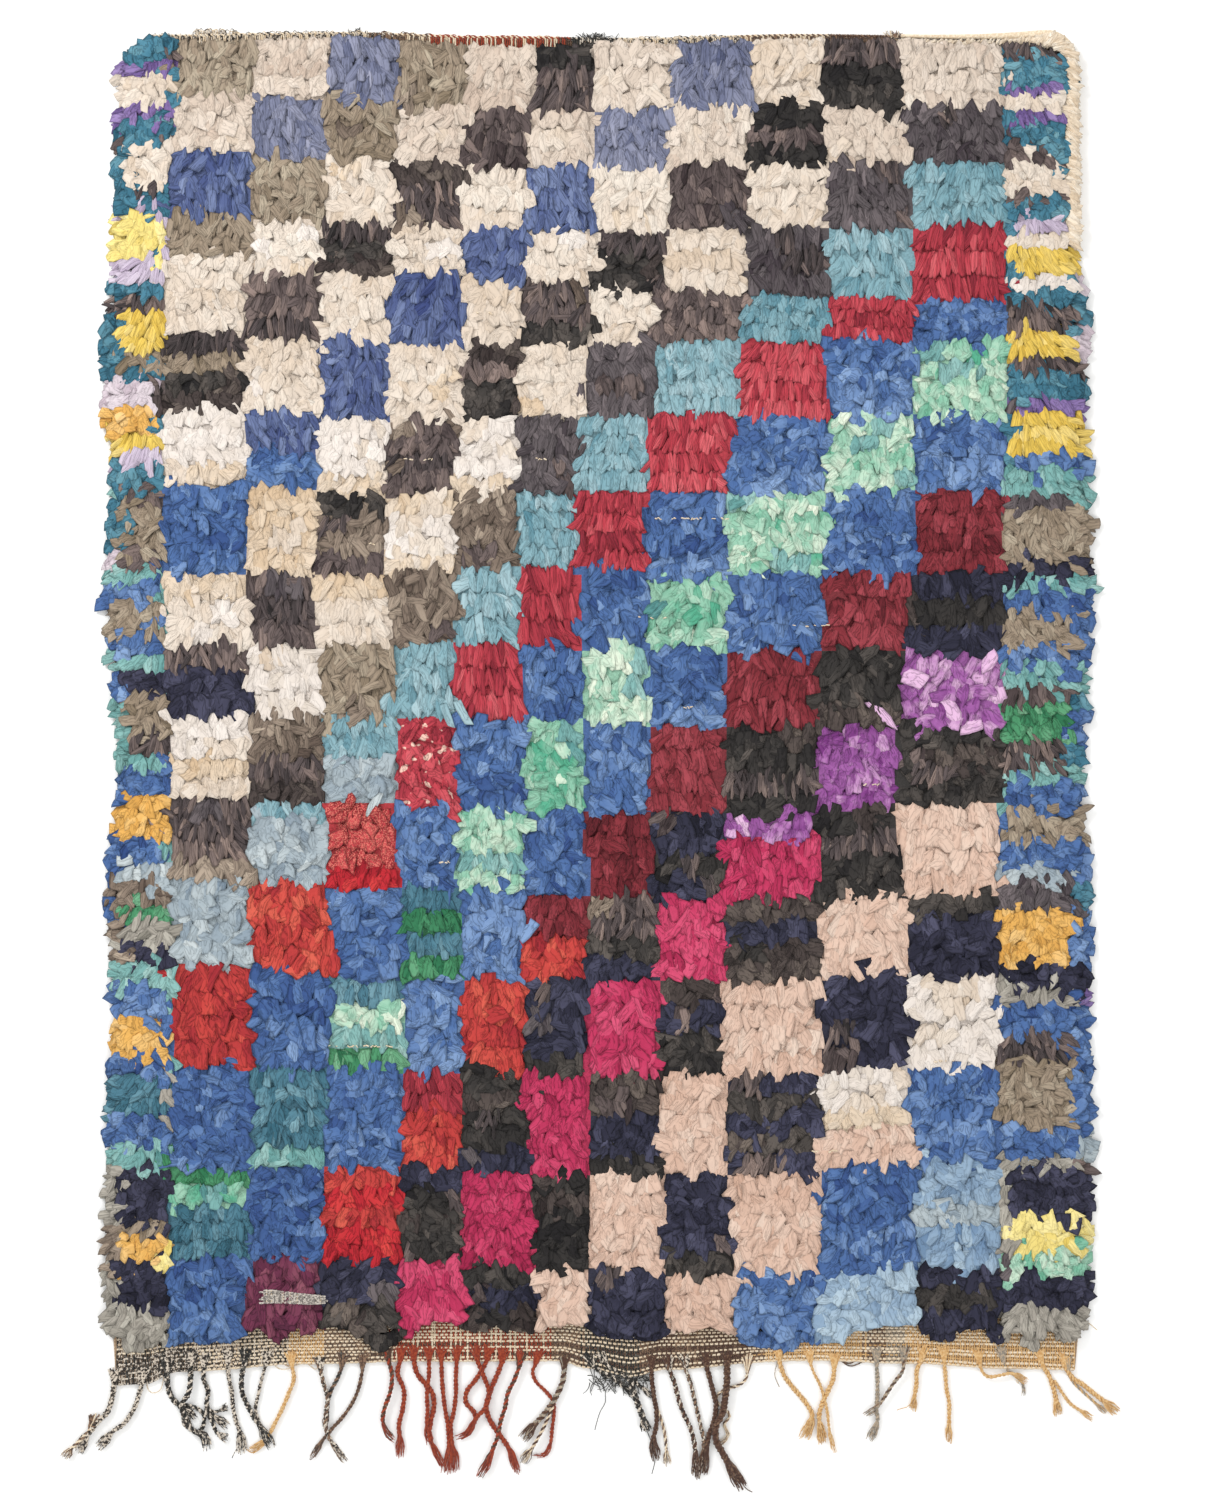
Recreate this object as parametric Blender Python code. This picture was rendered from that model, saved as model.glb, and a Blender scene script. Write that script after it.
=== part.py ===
"""A boucherouite rag rug lying flat on a floor, fringe towards -Y.

Five pieces: the woven ground cloth, the rag pile knotted into it, the twined heading cord along its far
end, the rag wrap sewn round one corner, and the knotted warp fringe on a narrow strip of its own.
Metres, +Z up. The origin is on the underside, at the middle of the ground cloth.
"""

import math
import random
from collections import namedtuple

import bmesh
import bpy
from mathutils import Vector

# Driving dimensions, in metres.
RUG_WIDTH = 1.506
GROUND_LENGTH = 2.074
CLOTH_THICKNESS = 0.003
SEWN_GAP = 0.0003  # between pieces that touch
TOP_Y = GROUND_LENGTH / 2
HALF_WIDTH = RUG_WIDTH / 2

# The pile: a lumpy slab, one bulge for each check, one row of lumps for each course of knots.
PILE_START = 0.012  # bare heading above the first course
SAG_FADES_BY = 0.30  # the courses follow the sagging far edge this far down
PILE_INSET = 0.006  # the outer knots stand this far inside the cloth's edge
CORNER_INSET = 0.014  # and this much further at the rounded far corners
CORNER_DEPTH = 0.045
PILE_CREST = 0.021
PILE_SEAM = 0.015  # height between two checks
PILE_SHOULDER = 0.010
LUMP = 0.0028
KNOT_SHIFT = 0.004
CELLS_PER_CHECK = 3
CELLS_PER_BORDER = 2
COURSE_SLANT = -0.005  # the courses run a little downhill to the right
LEFT_BORDER = 0.089
CHECK_WIDTHS = (0.122, 0.116, 0.112, 0.106, 0.102, 0.097, 0.112, 0.119, 0.141, 0.128, 0.145)
RIGHT_BORDER = 0.117

CheckRow = namedtuple("CheckRow", "height courses")
CHECK_ROWS = (
    CheckRow(0.094, 3),
    CheckRow(0.094, 3),
    CheckRow(0.094, 3),
    CheckRow(0.086, 3),
    CheckRow(0.102, 3),
    CheckRow(0.122, 4),
    CheckRow(0.120, 4),
    CheckRow(0.125, 4),
    CheckRow(0.117, 3),
    CheckRow(0.112, 3),
    CheckRow(0.128, 4),
    CheckRow(0.133, 4),
    CheckRow(0.133, 4),
    CheckRow(0.148, 4),
    CheckRow(0.156, 5),
    CheckRow(0.156, 5),
    CheckRow(0.114, 3),
)

# Locks of rag that stand out of the slab's rim: how far, and how thick at the tip.
LOCK_TIP = 0.005
LOCK_SIDE = (0.009, 0.024)
LOCK_BOTTOM = (0.006, 0.022)
LOCK_TOP = (0.001, 0.004)
LOCK_BY_WRAP = (0.002, 0.005)
LOCK_NARROWS = (0.25, 0.45)  # how far each side of a lock draws in towards its middle
LOCK_SKEW = 0.08

# How far the hand-woven edges stand out from a straight edge, by distance down from the heading.
Side = namedtuple("Side", "down left_out right_out")
SIDES = (
    Side(0.00, -0.022, -0.030),
    Side(0.05, -0.008, -0.024),
    Side(0.32, -0.004, -0.022),
    Side(0.40, 0.002, -0.006),
    Side(0.54, 0.013, -0.004),
    Side(0.70, 0.002, -0.001),
    Side(0.87, 0.008, 0.004),
    Side(1.15, -0.012, -0.011),
    Side(1.36, 0.005, 0.002),
    Side(1.50, -0.005, -0.002),
    Side(1.72, 0.005, 0.002),
    Side(1.93, 0.010, 0.000),
    Side(2.10, 0.002, -0.012),
)

# How far the far edge and the hem hang below a straight line, by distance from the middle.
Sag = namedtuple("Sag", "across drop")
HEADING_SAGS = (
    Sag(-0.76, 0.020),
    Sag(-0.70, 0.001),
    Sag(-0.39, -0.003),
    Sag(-0.19, 0.003),
    Sag(0.06, 0.006),
    Sag(0.31, 0.000),
    Sag(0.68, 0.006),
    Sag(0.76, 0.012),
)
HEM_SAGS = (
    Sag(-0.76, 0.031),
    Sag(-0.71, 0.028),
    Sag(-0.66, 0.010),
    Sag(-0.47, -0.002),
    Sag(-0.31, -0.006),
    Sag(-0.06, -0.007),
    Sag(-0.02, 0.004),
    Sag(0.05, 0.018),
    Sag(0.10, 0.006),
    Sag(0.31, -0.008),
    Sag(0.47, -0.004),
    Sag(0.62, 0.004),
    Sag(0.76, 0.008),
)
CORNER_RADIUS = 0.030
CORNER_STEPS = 6
OUTLINE_STEP = 0.045

# The heading cord, and the rag wrap that replaces it round the far right corner.
HEADING_CORD_RADIUS = 0.0025
HEADING_CORD_FROM = -0.70
HEADING_CORD_TO = 0.455
WRAP_FROM = 0.470  # across, on the far edge
WRAP_LENGTH_DOWN = 0.325
WRAP_RADIUS_THIN = 0.004
WRAP_RADIUS = 0.0095
WRAP_TURN = 0.022  # one turn of the rag for each swelling of the roll
WRAP_SWELL = 0.12
CORD_ROUNDNESS = 2  # the curve bevel's resolution: eight sides

# The fringe: the strip its knots are fused into, and one row for each knotted bunch of warps. A bunch
# leaves the hem at root and has moved sideways by kink, sweep and tip at one, two and three thirds.
STRIP_DEPTH = 0.005
STRAND_HEIGHT = 0.005
STRAND_STEPS = 9
STRAND_RISES = 0.33  # the share of a strand over which it rises from the strip's height to its own
TUFT_FROM = 0.70  # the share of a strand after which it frays into a tuft
TUFT_CUT = 0.82  # the share of the tuft's swelling at which it is cut off
HEADING_SPAN = 0.03  # the share of a strand over which its direction is taken
Strand = namedtuple("Strand", "root kink sweep tip reach girth tuft")
STRANDS = (
    Strand(-0.749, -0.012, -0.036, -0.076, 0.108, 0.0060, 0.015),
    Strand(-0.716, -0.008, -0.028, -0.066, 0.096, 0.0055, 0.014),
    Strand(-0.672, -0.002, 0.016, 0.038, 0.108, 0.0055, 0.012),
    Strand(-0.641, 0.002, 0.007, 0.028, 0.124, 0.0060, 0.014),
    Strand(-0.617, 0.000, 0.013, 0.040, 0.098, 0.0050, 0.010),
    Strand(-0.578, 0.002, 0.008, 0.024, 0.136, 0.0050, 0.012),
    Strand(-0.556, -0.002, 0.018, 0.040, 0.126, 0.0055, 0.014),
    Strand(-0.523, -0.006, -0.010, -0.010, 0.064, 0.0045, 0.006),
    Strand(-0.481, -0.005, -0.014, -0.018, 0.106, 0.0045, 0.007),
    Strand(-0.433, 0.003, 0.008, -0.014, 0.142, 0.0050, 0.008),
    Strand(-0.402, -0.010, -0.012, 0.010, 0.148, 0.0055, 0.009),
    Strand(-0.367, -0.009, -0.022, -0.034, 0.092, 0.0045, 0.007),
    Strand(-0.331, 0.004, -0.008, -0.002, 0.110, 0.0050, 0.006),
    Strand(-0.314, 0.011, 0.006, 0.002, 0.152, 0.0055, 0.011),
    Strand(-0.292, 0.008, 0.014, 0.014, 0.124, 0.0055, 0.008),
    Strand(-0.269, 0.004, 0.010, 0.020, 0.162, 0.0060, 0.010),
    Strand(-0.248, 0.003, 0.008, 0.016, 0.174, 0.0055, 0.012),
    Strand(-0.226, 0.002, 0.006, 0.014, 0.160, 0.0050, 0.010),
    Strand(-0.196, -0.008, -0.014, -0.006, 0.116, 0.0055, 0.008),
    Strand(-0.176, -0.002, -0.006, -0.008, 0.180, 0.0060, 0.011),
    Strand(-0.152, -0.006, -0.010, 0.000, 0.126, 0.0050, 0.008),
    Strand(-0.125, -0.009, -0.018, -0.008, 0.178, 0.0060, 0.011),
    Strand(-0.097, -0.008, 0.004, -0.014, 0.126, 0.0050, 0.010),
    Strand(-0.058, -0.002, -0.011, -0.034, 0.142, 0.0060, 0.014),
    Strand(0.034, 0.014, 0.032, 0.048, 0.086, 0.0070, 0.012),
    Strand(0.080, 0.003, 0.008, 0.006, 0.146, 0.0060, 0.013),
    Strand(0.108, 0.012, 0.028, 0.044, 0.176, 0.0060, 0.010),
    Strand(0.132, 0.012, 0.026, 0.038, 0.160, 0.0050, 0.010),
    Strand(0.166, 0.008, 0.013, 0.024, 0.140, 0.0065, 0.011),
    Strand(0.198, 0.002, 0.002, 0.028, 0.200, 0.0080, 0.014),
    Strand(0.232, -0.002, -0.012, -0.010, 0.090, 0.0050, 0.007),
    Strand(0.274, 0.016, 0.034, 0.046, 0.124, 0.0055, 0.013),
    Strand(0.325, 0.010, 0.016, 0.022, 0.146, 0.0050, 0.010),
    Strand(0.370, -0.004, -0.010, -0.002, 0.122, 0.0050, 0.010),
    Strand(0.432, 0.001, 0.000, -0.012, 0.132, 0.0055, 0.012),
    Strand(0.472, -0.006, -0.018, -0.026, 0.078, 0.0045, 0.007),
    Strand(0.497, -0.005, -0.008, -0.009, 0.078, 0.0045, 0.009),
    Strand(0.538, 0.005, 0.009, 0.006, 0.128, 0.0050, 0.008),
    Strand(0.594, 0.020, 0.042, 0.064, 0.026, 0.0050, 0.008),
    Strand(0.672, -0.002, -0.004, -0.005, 0.040, 0.0045, 0.006),
    Strand(0.697, 0.010, 0.017, 0.018, 0.072, 0.0060, 0.013),
    Strand(0.713, 0.014, 0.034, 0.058, 0.078, 0.0045, 0.009),
    Strand(0.730, 0.022, 0.050, 0.082, 0.062, 0.0060, 0.014),
)

# Base colours of the five pieces.
GROUND_COLOUR = (0.52, 0.42, 0.32)
PILE_COLOUR = (0.12, 0.17, 0.36)
CORD_COLOUR = (0.25, 0.20, 0.16)
WRAP_COLOUR = (0.62, 0.52, 0.42)
FRINGE_COLOUR = (0.24, 0.09, 0.05)


def clear_scene():
    for item in list(bpy.data.objects):
        bpy.data.objects.remove(item, do_unlink=True)


def cloth_material(name, colour, roughness):
    material = bpy.data.materials.new(name)
    material.use_nodes = True
    shader = material.node_tree.nodes["Principled BSDF"]
    shader.inputs["Base Color"].default_value = (*colour, 1.0)
    shader.inputs["Roughness"].default_value = roughness
    shader.inputs["Metallic"].default_value = 0.0
    return material


def add_object(name, data, material):
    piece = bpy.data.objects.new(name, data)
    data.materials.append(material)
    bpy.context.scene.collection.objects.link(piece)
    return piece


def add_solid(name, bm, material):
    """Turns a finished, closed bmesh into a named object with its faces pointing out."""
    bmesh.ops.recalc_face_normals(bm, faces=bm.faces[:])
    mesh = bpy.data.meshes.new(name)
    bm.to_mesh(mesh)
    bm.free()
    return add_object(name, mesh, material)


def eased(rows, at, column):
    """A column of a table read between its rows, eased so that the curve through them is smooth.

    The table's first column is the distance that it is read by."""
    if at <= rows[0][0]:
        return getattr(rows[0], column)
    for low, high in zip(rows, rows[1:]):
        if at <= high[0]:
            share = (at - low[0]) / (high[0] - low[0])
            share = share * share * (3 - 2 * share)
            return getattr(low, column) + share * (getattr(high, column) - getattr(low, column))
    return getattr(rows[-1], column)


def left_edge(y):
    return -HALF_WIDTH - eased(SIDES, TOP_Y - y, "left_out")


def right_edge(y):
    return HALF_WIDTH + eased(SIDES, TOP_Y - y, "right_out")


def heading_edge(x):
    return TOP_Y - eased(HEADING_SAGS, x, "drop")


def hem_edge(x):
    return -TOP_Y - eased(HEM_SAGS, x, "drop")


def spread(start, end, step):
    """Evenly spaced values from start to end, about one step apart."""
    count = max(1, round(abs(end - start) / step))
    return [start + (end - start) * i / count for i in range(count + 1)]


def corner_arc(centre, radius, start_degrees, end_degrees):
    """Points on a round corner, both ends included."""
    turn = (end_degrees - start_degrees) / CORNER_STEPS
    angles = [math.radians(start_degrees + turn * i) for i in range(CORNER_STEPS + 1)]
    return [Vector((centre[0] + radius * math.cos(a), centre[1] + radius * math.sin(a))) for a in angles]


def far_right_corner(outset):
    """The round of the wrapped corner, that far outside the cloth, from the far edge to the right side."""
    x = right_edge(TOP_Y - CORNER_RADIUS) - CORNER_RADIUS
    y = heading_edge(x) - CORNER_RADIUS
    return corner_arc((x, y), CORNER_RADIUS + outset, 90, 0)


def hem_lines():
    """Places across the hem that cloth and fringe share: its two ends, and each strand's two sides."""
    lines = [left_edge(hem_edge(-HALF_WIDTH))]
    for strand in STRANDS:
        lines += [strand.root - strand.girth / 2, strand.root + strand.girth / 2]
    return lines + [right_edge(hem_edge(HALF_WIDTH))]


def ground_outline():
    """The cloth's edge, clockwise from the far left corner."""
    corner = far_right_corner(0.0)
    left_x = left_edge(TOP_Y - CORNER_RADIUS) + CORNER_RADIUS
    left_corner = corner_arc((left_x, heading_edge(left_x) - CORNER_RADIUS), CORNER_RADIUS, 180, 90)
    heading = [Vector((x, heading_edge(x))) for x in spread(left_corner[-1].x, corner[0].x, OUTLINE_STEP)]
    right = [Vector((right_edge(y), y)) for y in spread(corner[-1].y, hem_edge(HALF_WIDTH), OUTLINE_STEP)]
    hem = [Vector((x, hem_edge(x))) for x in reversed(hem_lines())]
    left = [Vector((left_edge(y), y)) for y in spread(hem_edge(-HALF_WIDTH), left_corner[0].y, OUTLINE_STEP)]
    return left_corner + heading[1:-1] + corner + right[1:-1] + hem + left[1:-1]


def make_ground():
    """The woven cloth: its outline, raised to the cloth's thickness."""
    bm = bmesh.new()
    rim = [bm.verts.new((p.x, p.y, 0.0)) for p in ground_outline()]
    sheet = bm.faces.new(rim)
    raised = bmesh.ops.extrude_face_region(bm, geom=[sheet])["geom"]
    upper = [v for v in raised if isinstance(v, bmesh.types.BMVert)]
    bmesh.ops.translate(bm, verts=upper, vec=(0.0, 0.0, CLOTH_THICKNESS))
    return add_solid("ground", bm, cloth_material("woven_ground", GROUND_COLOUR, 0.95))


def column_shares():
    """Where the pile's grid lines stand, from 0 to 1 across the rug, and how high each is in its check."""
    bands = [(LEFT_BORDER, CELLS_PER_BORDER)]
    bands += [(width, CELLS_PER_CHECK) for width in CHECK_WIDTHS]
    bands += [(RIGHT_BORDER, CELLS_PER_BORDER)]
    whole = sum(width for width, _ in bands)
    shares, bulges, start = [], [], 0.0
    for width, cells in bands:
        for cell in range(cells):
            shares.append((start + width * cell / cells) / whole)
            bulges.append(math.sin(math.pi * cell / cells))
        start += width
    return shares + [1.0], bulges + [0.0]


def course_lines():
    """How far down the pile each course starts, and how high it is in its check."""
    lines, bulges, start = [], [], 0.0
    for row in CHECK_ROWS:
        for course in range(row.courses):
            lines.append(start + row.height * course / row.courses)
            bulges.append(math.sin(math.pi * course / row.courses))
        start += row.height
    return lines + [start], bulges + [0.0]


def pile_inset(y):
    """How far the pile stays inside the cloth's sides, which is more at the rounded far corners."""
    corner = max(0.0, 1.0 - (TOP_Y - y) / CORNER_DEPTH)
    return PILE_INSET + CORNER_INSET * corner**2


def shape_pile_grid(bm, columns, rows, chance):
    """Moves a flat grid's points to the knots' places, and lifts each check into a low bulge."""
    shares, across_bulges = columns
    lines, down_bulges = rows
    for v in bm.verts:
        i, j = round(v.co.x), round(v.co.y)
        y = TOP_Y - PILE_START - lines[j]
        left, right = left_edge(y) + pile_inset(y), right_edge(y) - pile_inset(y)
        x = left + shares[i] * (right - left)
        y += COURSE_SLANT * x / HALF_WIDTH
        y -= eased(HEADING_SAGS, x, "drop") * max(0.0, 1.0 - lines[j] / SAG_FADES_BY)
        if i in (0, len(shares) - 1) or j in (0, len(lines) - 1):
            z = PILE_SHOULDER
        else:
            z = PILE_SEAM + (PILE_CREST - PILE_SEAM) * math.sqrt(across_bulges[i] * down_bulges[j])
            x += chance.uniform(-KNOT_SHIFT, KNOT_SHIFT)
            y += chance.uniform(-KNOT_SHIFT, KNOT_SHIFT)
        z += chance.uniform(-LUMP, LUMP)
        v.co = (x, y, CLOTH_THICKNESS + SEWN_GAP + z)


def lock_reach(middle, outward, chance):
    """How far a lock stands out of the rim, which depends on the side that it is on."""
    if outward.y > 0.5:
        return chance.uniform(*LOCK_TOP)
    if outward.y < -0.5:
        return chance.uniform(*LOCK_BOTTOM)
    if outward.x > 0.5 and TOP_Y - middle.y < WRAP_LENGTH_DOWN + LOCK_SIDE[1]:
        return chance.uniform(*LOCK_BY_WRAP)
    return chance.uniform(*LOCK_SIDE)


def add_locks(bm, chance):
    """Draws a blunt lock of rag out of each edge of the slab's rim."""
    rim = [edge for edge in bm.edges if edge.is_boundary]
    for edge in rim:
        ends = [v.co.copy() for v in edge.verts]
        middle = (ends[0] + ends[1]) / 2
        along = ends[1] - ends[0]
        outward = Vector((along.y, -along.x, 0.0)).normalized()
        if outward.dot(middle - edge.link_faces[0].calc_center_median()) < 0:
            outward = -outward
        drawn = bmesh.ops.extrude_edge_only(bm, edges=[edge])["geom"]
        tips = [v for v in drawn if isinstance(v, bmesh.types.BMVert)]
        reach = lock_reach(middle, outward, chance)
        skew = along * chance.uniform(-LOCK_SKEW, LOCK_SKEW)
        for tip in tips:
            root = tip.co.copy()
            tip.co = root + (middle - root) * chance.uniform(*LOCK_NARROWS) + outward * reach + skew
            tip.co.z = CLOTH_THICKNESS + SEWN_GAP + LOCK_TIP


def close_underneath(bm, height):
    """Drops a wall from the open rim to a flat underside, and closes that."""
    rim = [edge for edge in bm.edges if edge.is_boundary]
    drawn = bmesh.ops.extrude_edge_only(bm, edges=rim)["geom"]
    for v in drawn:
        if isinstance(v, bmesh.types.BMVert):
            v.co.z = height
    bmesh.ops.holes_fill(bm, edges=[edge for edge in bm.edges if edge.is_boundary], sides=0)


def make_pile():
    """The rag pile as one lumpy slab on the cloth, with locks at its rim."""
    chance = random.Random(11)
    columns, rows = column_shares(), course_lines()
    across, down = len(columns[0]) - 1, len(rows[0]) - 1
    bm = bmesh.new()
    bmesh.ops.create_grid(bm, x_segments=across, y_segments=down, size=0.5)
    bmesh.ops.scale(bm, vec=(across, down, 1.0), verts=bm.verts[:])
    bmesh.ops.translate(bm, vec=(across / 2, down / 2, 0.0), verts=bm.verts[:])
    shape_pile_grid(bm, columns, rows, chance)
    add_locks(bm, chance)
    close_underneath(bm, CLOTH_THICKNESS + SEWN_GAP)
    return add_solid("pile", bm, cloth_material("rag_pile", PILE_COLOUR, 0.9))


def add_cord(name, points, radii, material):
    """A round cord through points of the floor plan, resting on the floor, with its own radius at each."""
    curve = bpy.data.curves.new(name, "CURVE")
    curve.dimensions = "3D"
    curve.bevel_depth = 1.0
    curve.bevel_resolution = CORD_ROUNDNESS
    curve.use_fill_caps = True
    spline = curve.splines.new("POLY")
    spline.points.add(len(points) - 1)
    for knot, place, radius in zip(spline.points, points, radii):
        knot.co = (place.x, place.y, radius, 1.0)
        knot.radius = radius
    return add_object(name, curve, material)


def make_heading_cord():
    """The twined cord that closes the far edge of the cloth."""
    outset = HEADING_CORD_RADIUS + SEWN_GAP
    across = spread(HEADING_CORD_FROM, HEADING_CORD_TO, OUTLINE_STEP)
    points = [Vector((x, heading_edge(x) + outset)) for x in across]
    radii = [HEADING_CORD_RADIUS] * len(points)
    return add_cord("heading_cord", points, radii, cloth_material("twined_cord", CORD_COLOUR, 0.95))


def wrap_route():
    """The middle of the wrap, one point for each half turn: along the far edge, round the corner, down."""
    thin, full = WRAP_RADIUS_THIN + SEWN_GAP, WRAP_RADIUS + SEWN_GAP
    corner = far_right_corner(full)
    half_turn = WRAP_TURN / 2
    along = []
    for x in spread(WRAP_FROM, corner[0].x, half_turn)[:-1]:
        share = (x - WRAP_FROM) / (corner[0].x - WRAP_FROM)
        along.append((Vector((x, heading_edge(x) + thin + (full - thin) * share**2)), share**2))
    round_the_corner = [(p, 1.0) for p in corner]
    down = [
        (Vector((right_edge(y) + full, y)), 1.0)
        for y in spread(corner[-1].y, TOP_Y - WRAP_LENGTH_DOWN, half_turn)[1:]
    ]
    return along + round_the_corner + down


def make_edge_wrap():
    """The rag that is wound over the far right corner, swelling once in each turn."""
    route = wrap_route()
    points, radii = [], []
    for number, (place, fullness) in enumerate(route):
        radius = WRAP_RADIUS_THIN + (WRAP_RADIUS - WRAP_RADIUS_THIN) * fullness
        points.append(place)
        radii.append(radius * (1.0 - WRAP_SWELL * (number % 2)))
    return add_cord("edge_wrap", points, radii, cloth_material("rag_wrap", WRAP_COLOUR, 0.9))


def strand_side(strand, share):
    """How far a strand has moved sideways at that share of its reach: a smooth curve through its thirds."""
    stops = (0.0, strand.kink, strand.sweep, strand.tip)
    at = min(share * 3, 2.999)
    k = int(at)
    t = at - k
    before = stops[max(k - 1, 0)]
    after = stops[min(k + 2, 3)]
    a, b = stops[k], stops[k + 1]
    start_slope, end_slope = (b - before) / 2, (after - a) / 2
    return (
        (2 * t**3 - 3 * t**2 + 1) * a
        + (t**3 - 2 * t**2 + t) * start_slope
        + (3 * t**2 - 2 * t**3) * b
        + (t**3 - t**2) * end_slope
    )


def strand_place(strand, share):
    """The middle of a strand in the floor plan, at that share of its reach."""
    y = hem_edge(strand.root) - SEWN_GAP - STRIP_DEPTH - strand.reach * share
    return Vector((strand.root + strand_side(strand, share), y))


def strand_width(strand, share):
    """A cord's girth, then a tuft that swells and draws in again at its tip."""
    if share <= TUFT_FROM:
        return strand.girth
    frayed = (share - TUFT_FROM) / (1 - TUFT_FROM)
    return strand.girth + (strand.tuft - strand.girth) * math.sin(math.pi * min(frayed, TUFT_CUT))


def draw_strand(bm, face, strand):
    """Draws one face of the strip's front out into a strand that lies level on the floor."""
    for step in range(1, STRAND_STEPS + 1):
        share = step / STRAND_STEPS
        place = strand_place(strand, share)
        ahead, behind = min(share + HEADING_SPAN, 1.0), share - HEADING_SPAN
        heading = strand_place(strand, ahead) - strand_place(strand, behind)
        across = Vector((-heading.y, heading.x)).normalized()
        face = bmesh.ops.extrude_discrete_faces(bm, faces=[face])["faces"][0]
        half = strand_width(strand, share) / 2
        lift = CLOTH_THICKNESS + (STRAND_HEIGHT - CLOTH_THICKNESS) * min(1.0, share / STRAND_RISES)
        middle = face.calc_center_median().xy
        for corner in face.verts:
            upper = corner.co.z > CLOTH_THICKNESS / 2
            side = across if (corner.co.xy - middle).dot(across) > 0 else -across
            corner.co = (*(place + side * half), lift if upper else 0.0)


def make_fringe():
    """The strip along the hem with its strands, all one piece."""
    lines = hem_lines()
    bm = bmesh.new()
    bmesh.ops.create_grid(bm, x_segments=len(lines) - 1, y_segments=1, size=0.5)
    for v in bm.verts:
        x = lines[round((v.co.x + 0.5) * (len(lines) - 1))]
        y = hem_edge(x) - SEWN_GAP - (STRIP_DEPTH if v.co.y < 0 else 0.0)
        v.co = (x, y, 0.0)
    raised = bmesh.ops.extrude_face_region(bm, geom=bm.faces[:])["geom"]
    upper = [v for v in raised if isinstance(v, bmesh.types.BMVert)]
    bmesh.ops.translate(bm, verts=upper, vec=(0.0, 0.0, CLOTH_THICKNESS))
    bmesh.ops.recalc_face_normals(bm, faces=bm.faces[:])
    front = [face for face in bm.faces if face.normal.y < -0.5]
    roots = [min(front, key=lambda face: abs(face.calc_center_median().x - s.root)) for s in STRANDS]
    for strand, face in zip(STRANDS, roots):
        draw_strand(bm, face, strand)
    return add_solid("fringe", bm, cloth_material("warp_yarn", FRINGE_COLOUR, 0.95))


clear_scene()
make_ground()
make_pile()
make_heading_cord()
make_edge_wrap()
make_fringe()
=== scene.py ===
"""The boucherouite rug as it looks: rag pile, woven band, twined heading, wrapped corner and knotted fringe.

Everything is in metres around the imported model, +Z up, with the fringe towards -Y. The rag pile is many
short strips of torn cloth, each a thin folded sheet, laid course by course as the knots are tied.
"""

import math
import random
from collections import defaultdict, namedtuple

import bmesh
import bpy
import numpy as np
from mathutils import Euler, Matrix, Vector


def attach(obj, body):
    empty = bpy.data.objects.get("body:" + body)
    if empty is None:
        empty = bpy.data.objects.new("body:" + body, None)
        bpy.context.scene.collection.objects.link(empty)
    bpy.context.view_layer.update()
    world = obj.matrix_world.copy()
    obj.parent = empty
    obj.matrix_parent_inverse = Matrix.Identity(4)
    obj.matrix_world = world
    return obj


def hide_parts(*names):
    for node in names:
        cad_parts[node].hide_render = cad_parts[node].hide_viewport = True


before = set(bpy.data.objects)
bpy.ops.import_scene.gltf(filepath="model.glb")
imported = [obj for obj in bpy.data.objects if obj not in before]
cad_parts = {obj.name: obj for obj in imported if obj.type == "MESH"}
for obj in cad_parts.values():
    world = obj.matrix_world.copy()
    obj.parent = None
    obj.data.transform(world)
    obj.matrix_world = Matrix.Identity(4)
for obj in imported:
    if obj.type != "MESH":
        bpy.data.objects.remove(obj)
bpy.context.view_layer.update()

# The rug's outline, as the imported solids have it.
MM = 0.001
RUG_WIDTH = 1.506
GROUND_LENGTH = 2.074
CLOTH_THICKNESS = 0.003
TOP_Y = GROUND_LENGTH / 2
HALF_WIDTH = RUG_WIDTH / 2
CORNER_RADIUS = 0.030
LEFT_BORDER = 0.089
RIGHT_BORDER = 0.117
BORDER_END = -0.978

Side = namedtuple("Side", "down left_out right_out")
SIDES = (
    Side(0.00, -0.022, -0.030),
    Side(0.05, -0.008, -0.024),
    Side(0.32, -0.004, -0.022),
    Side(0.40, 0.002, -0.006),
    Side(0.54, 0.013, -0.004),
    Side(0.70, 0.002, -0.001),
    Side(0.87, 0.008, 0.004),
    Side(1.15, -0.012, -0.011),
    Side(1.36, 0.005, 0.002),
    Side(1.50, -0.005, -0.002),
    Side(1.72, 0.005, 0.002),
    Side(1.93, 0.010, 0.000),
    Side(2.10, 0.002, -0.012),
)
Sag = namedtuple("Sag", "across drop")
HEADING_SAGS = (
    Sag(-0.76, 0.020),
    Sag(-0.70, 0.001),
    Sag(-0.39, -0.003),
    Sag(-0.19, 0.003),
    Sag(0.06, 0.006),
    Sag(0.31, 0.000),
    Sag(0.68, 0.006),
    Sag(0.76, 0.012),
)
HEM_SAGS = (
    Sag(-0.76, 0.031),
    Sag(-0.71, 0.028),
    Sag(-0.66, 0.010),
    Sag(-0.47, -0.002),
    Sag(-0.31, -0.006),
    Sag(-0.06, -0.007),
    Sag(-0.02, 0.004),
    Sag(0.05, 0.018),
    Sag(0.10, 0.006),
    Sag(0.31, -0.008),
    Sag(0.47, -0.004),
    Sag(0.62, 0.004),
    Sag(0.76, 0.008),
)

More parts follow.
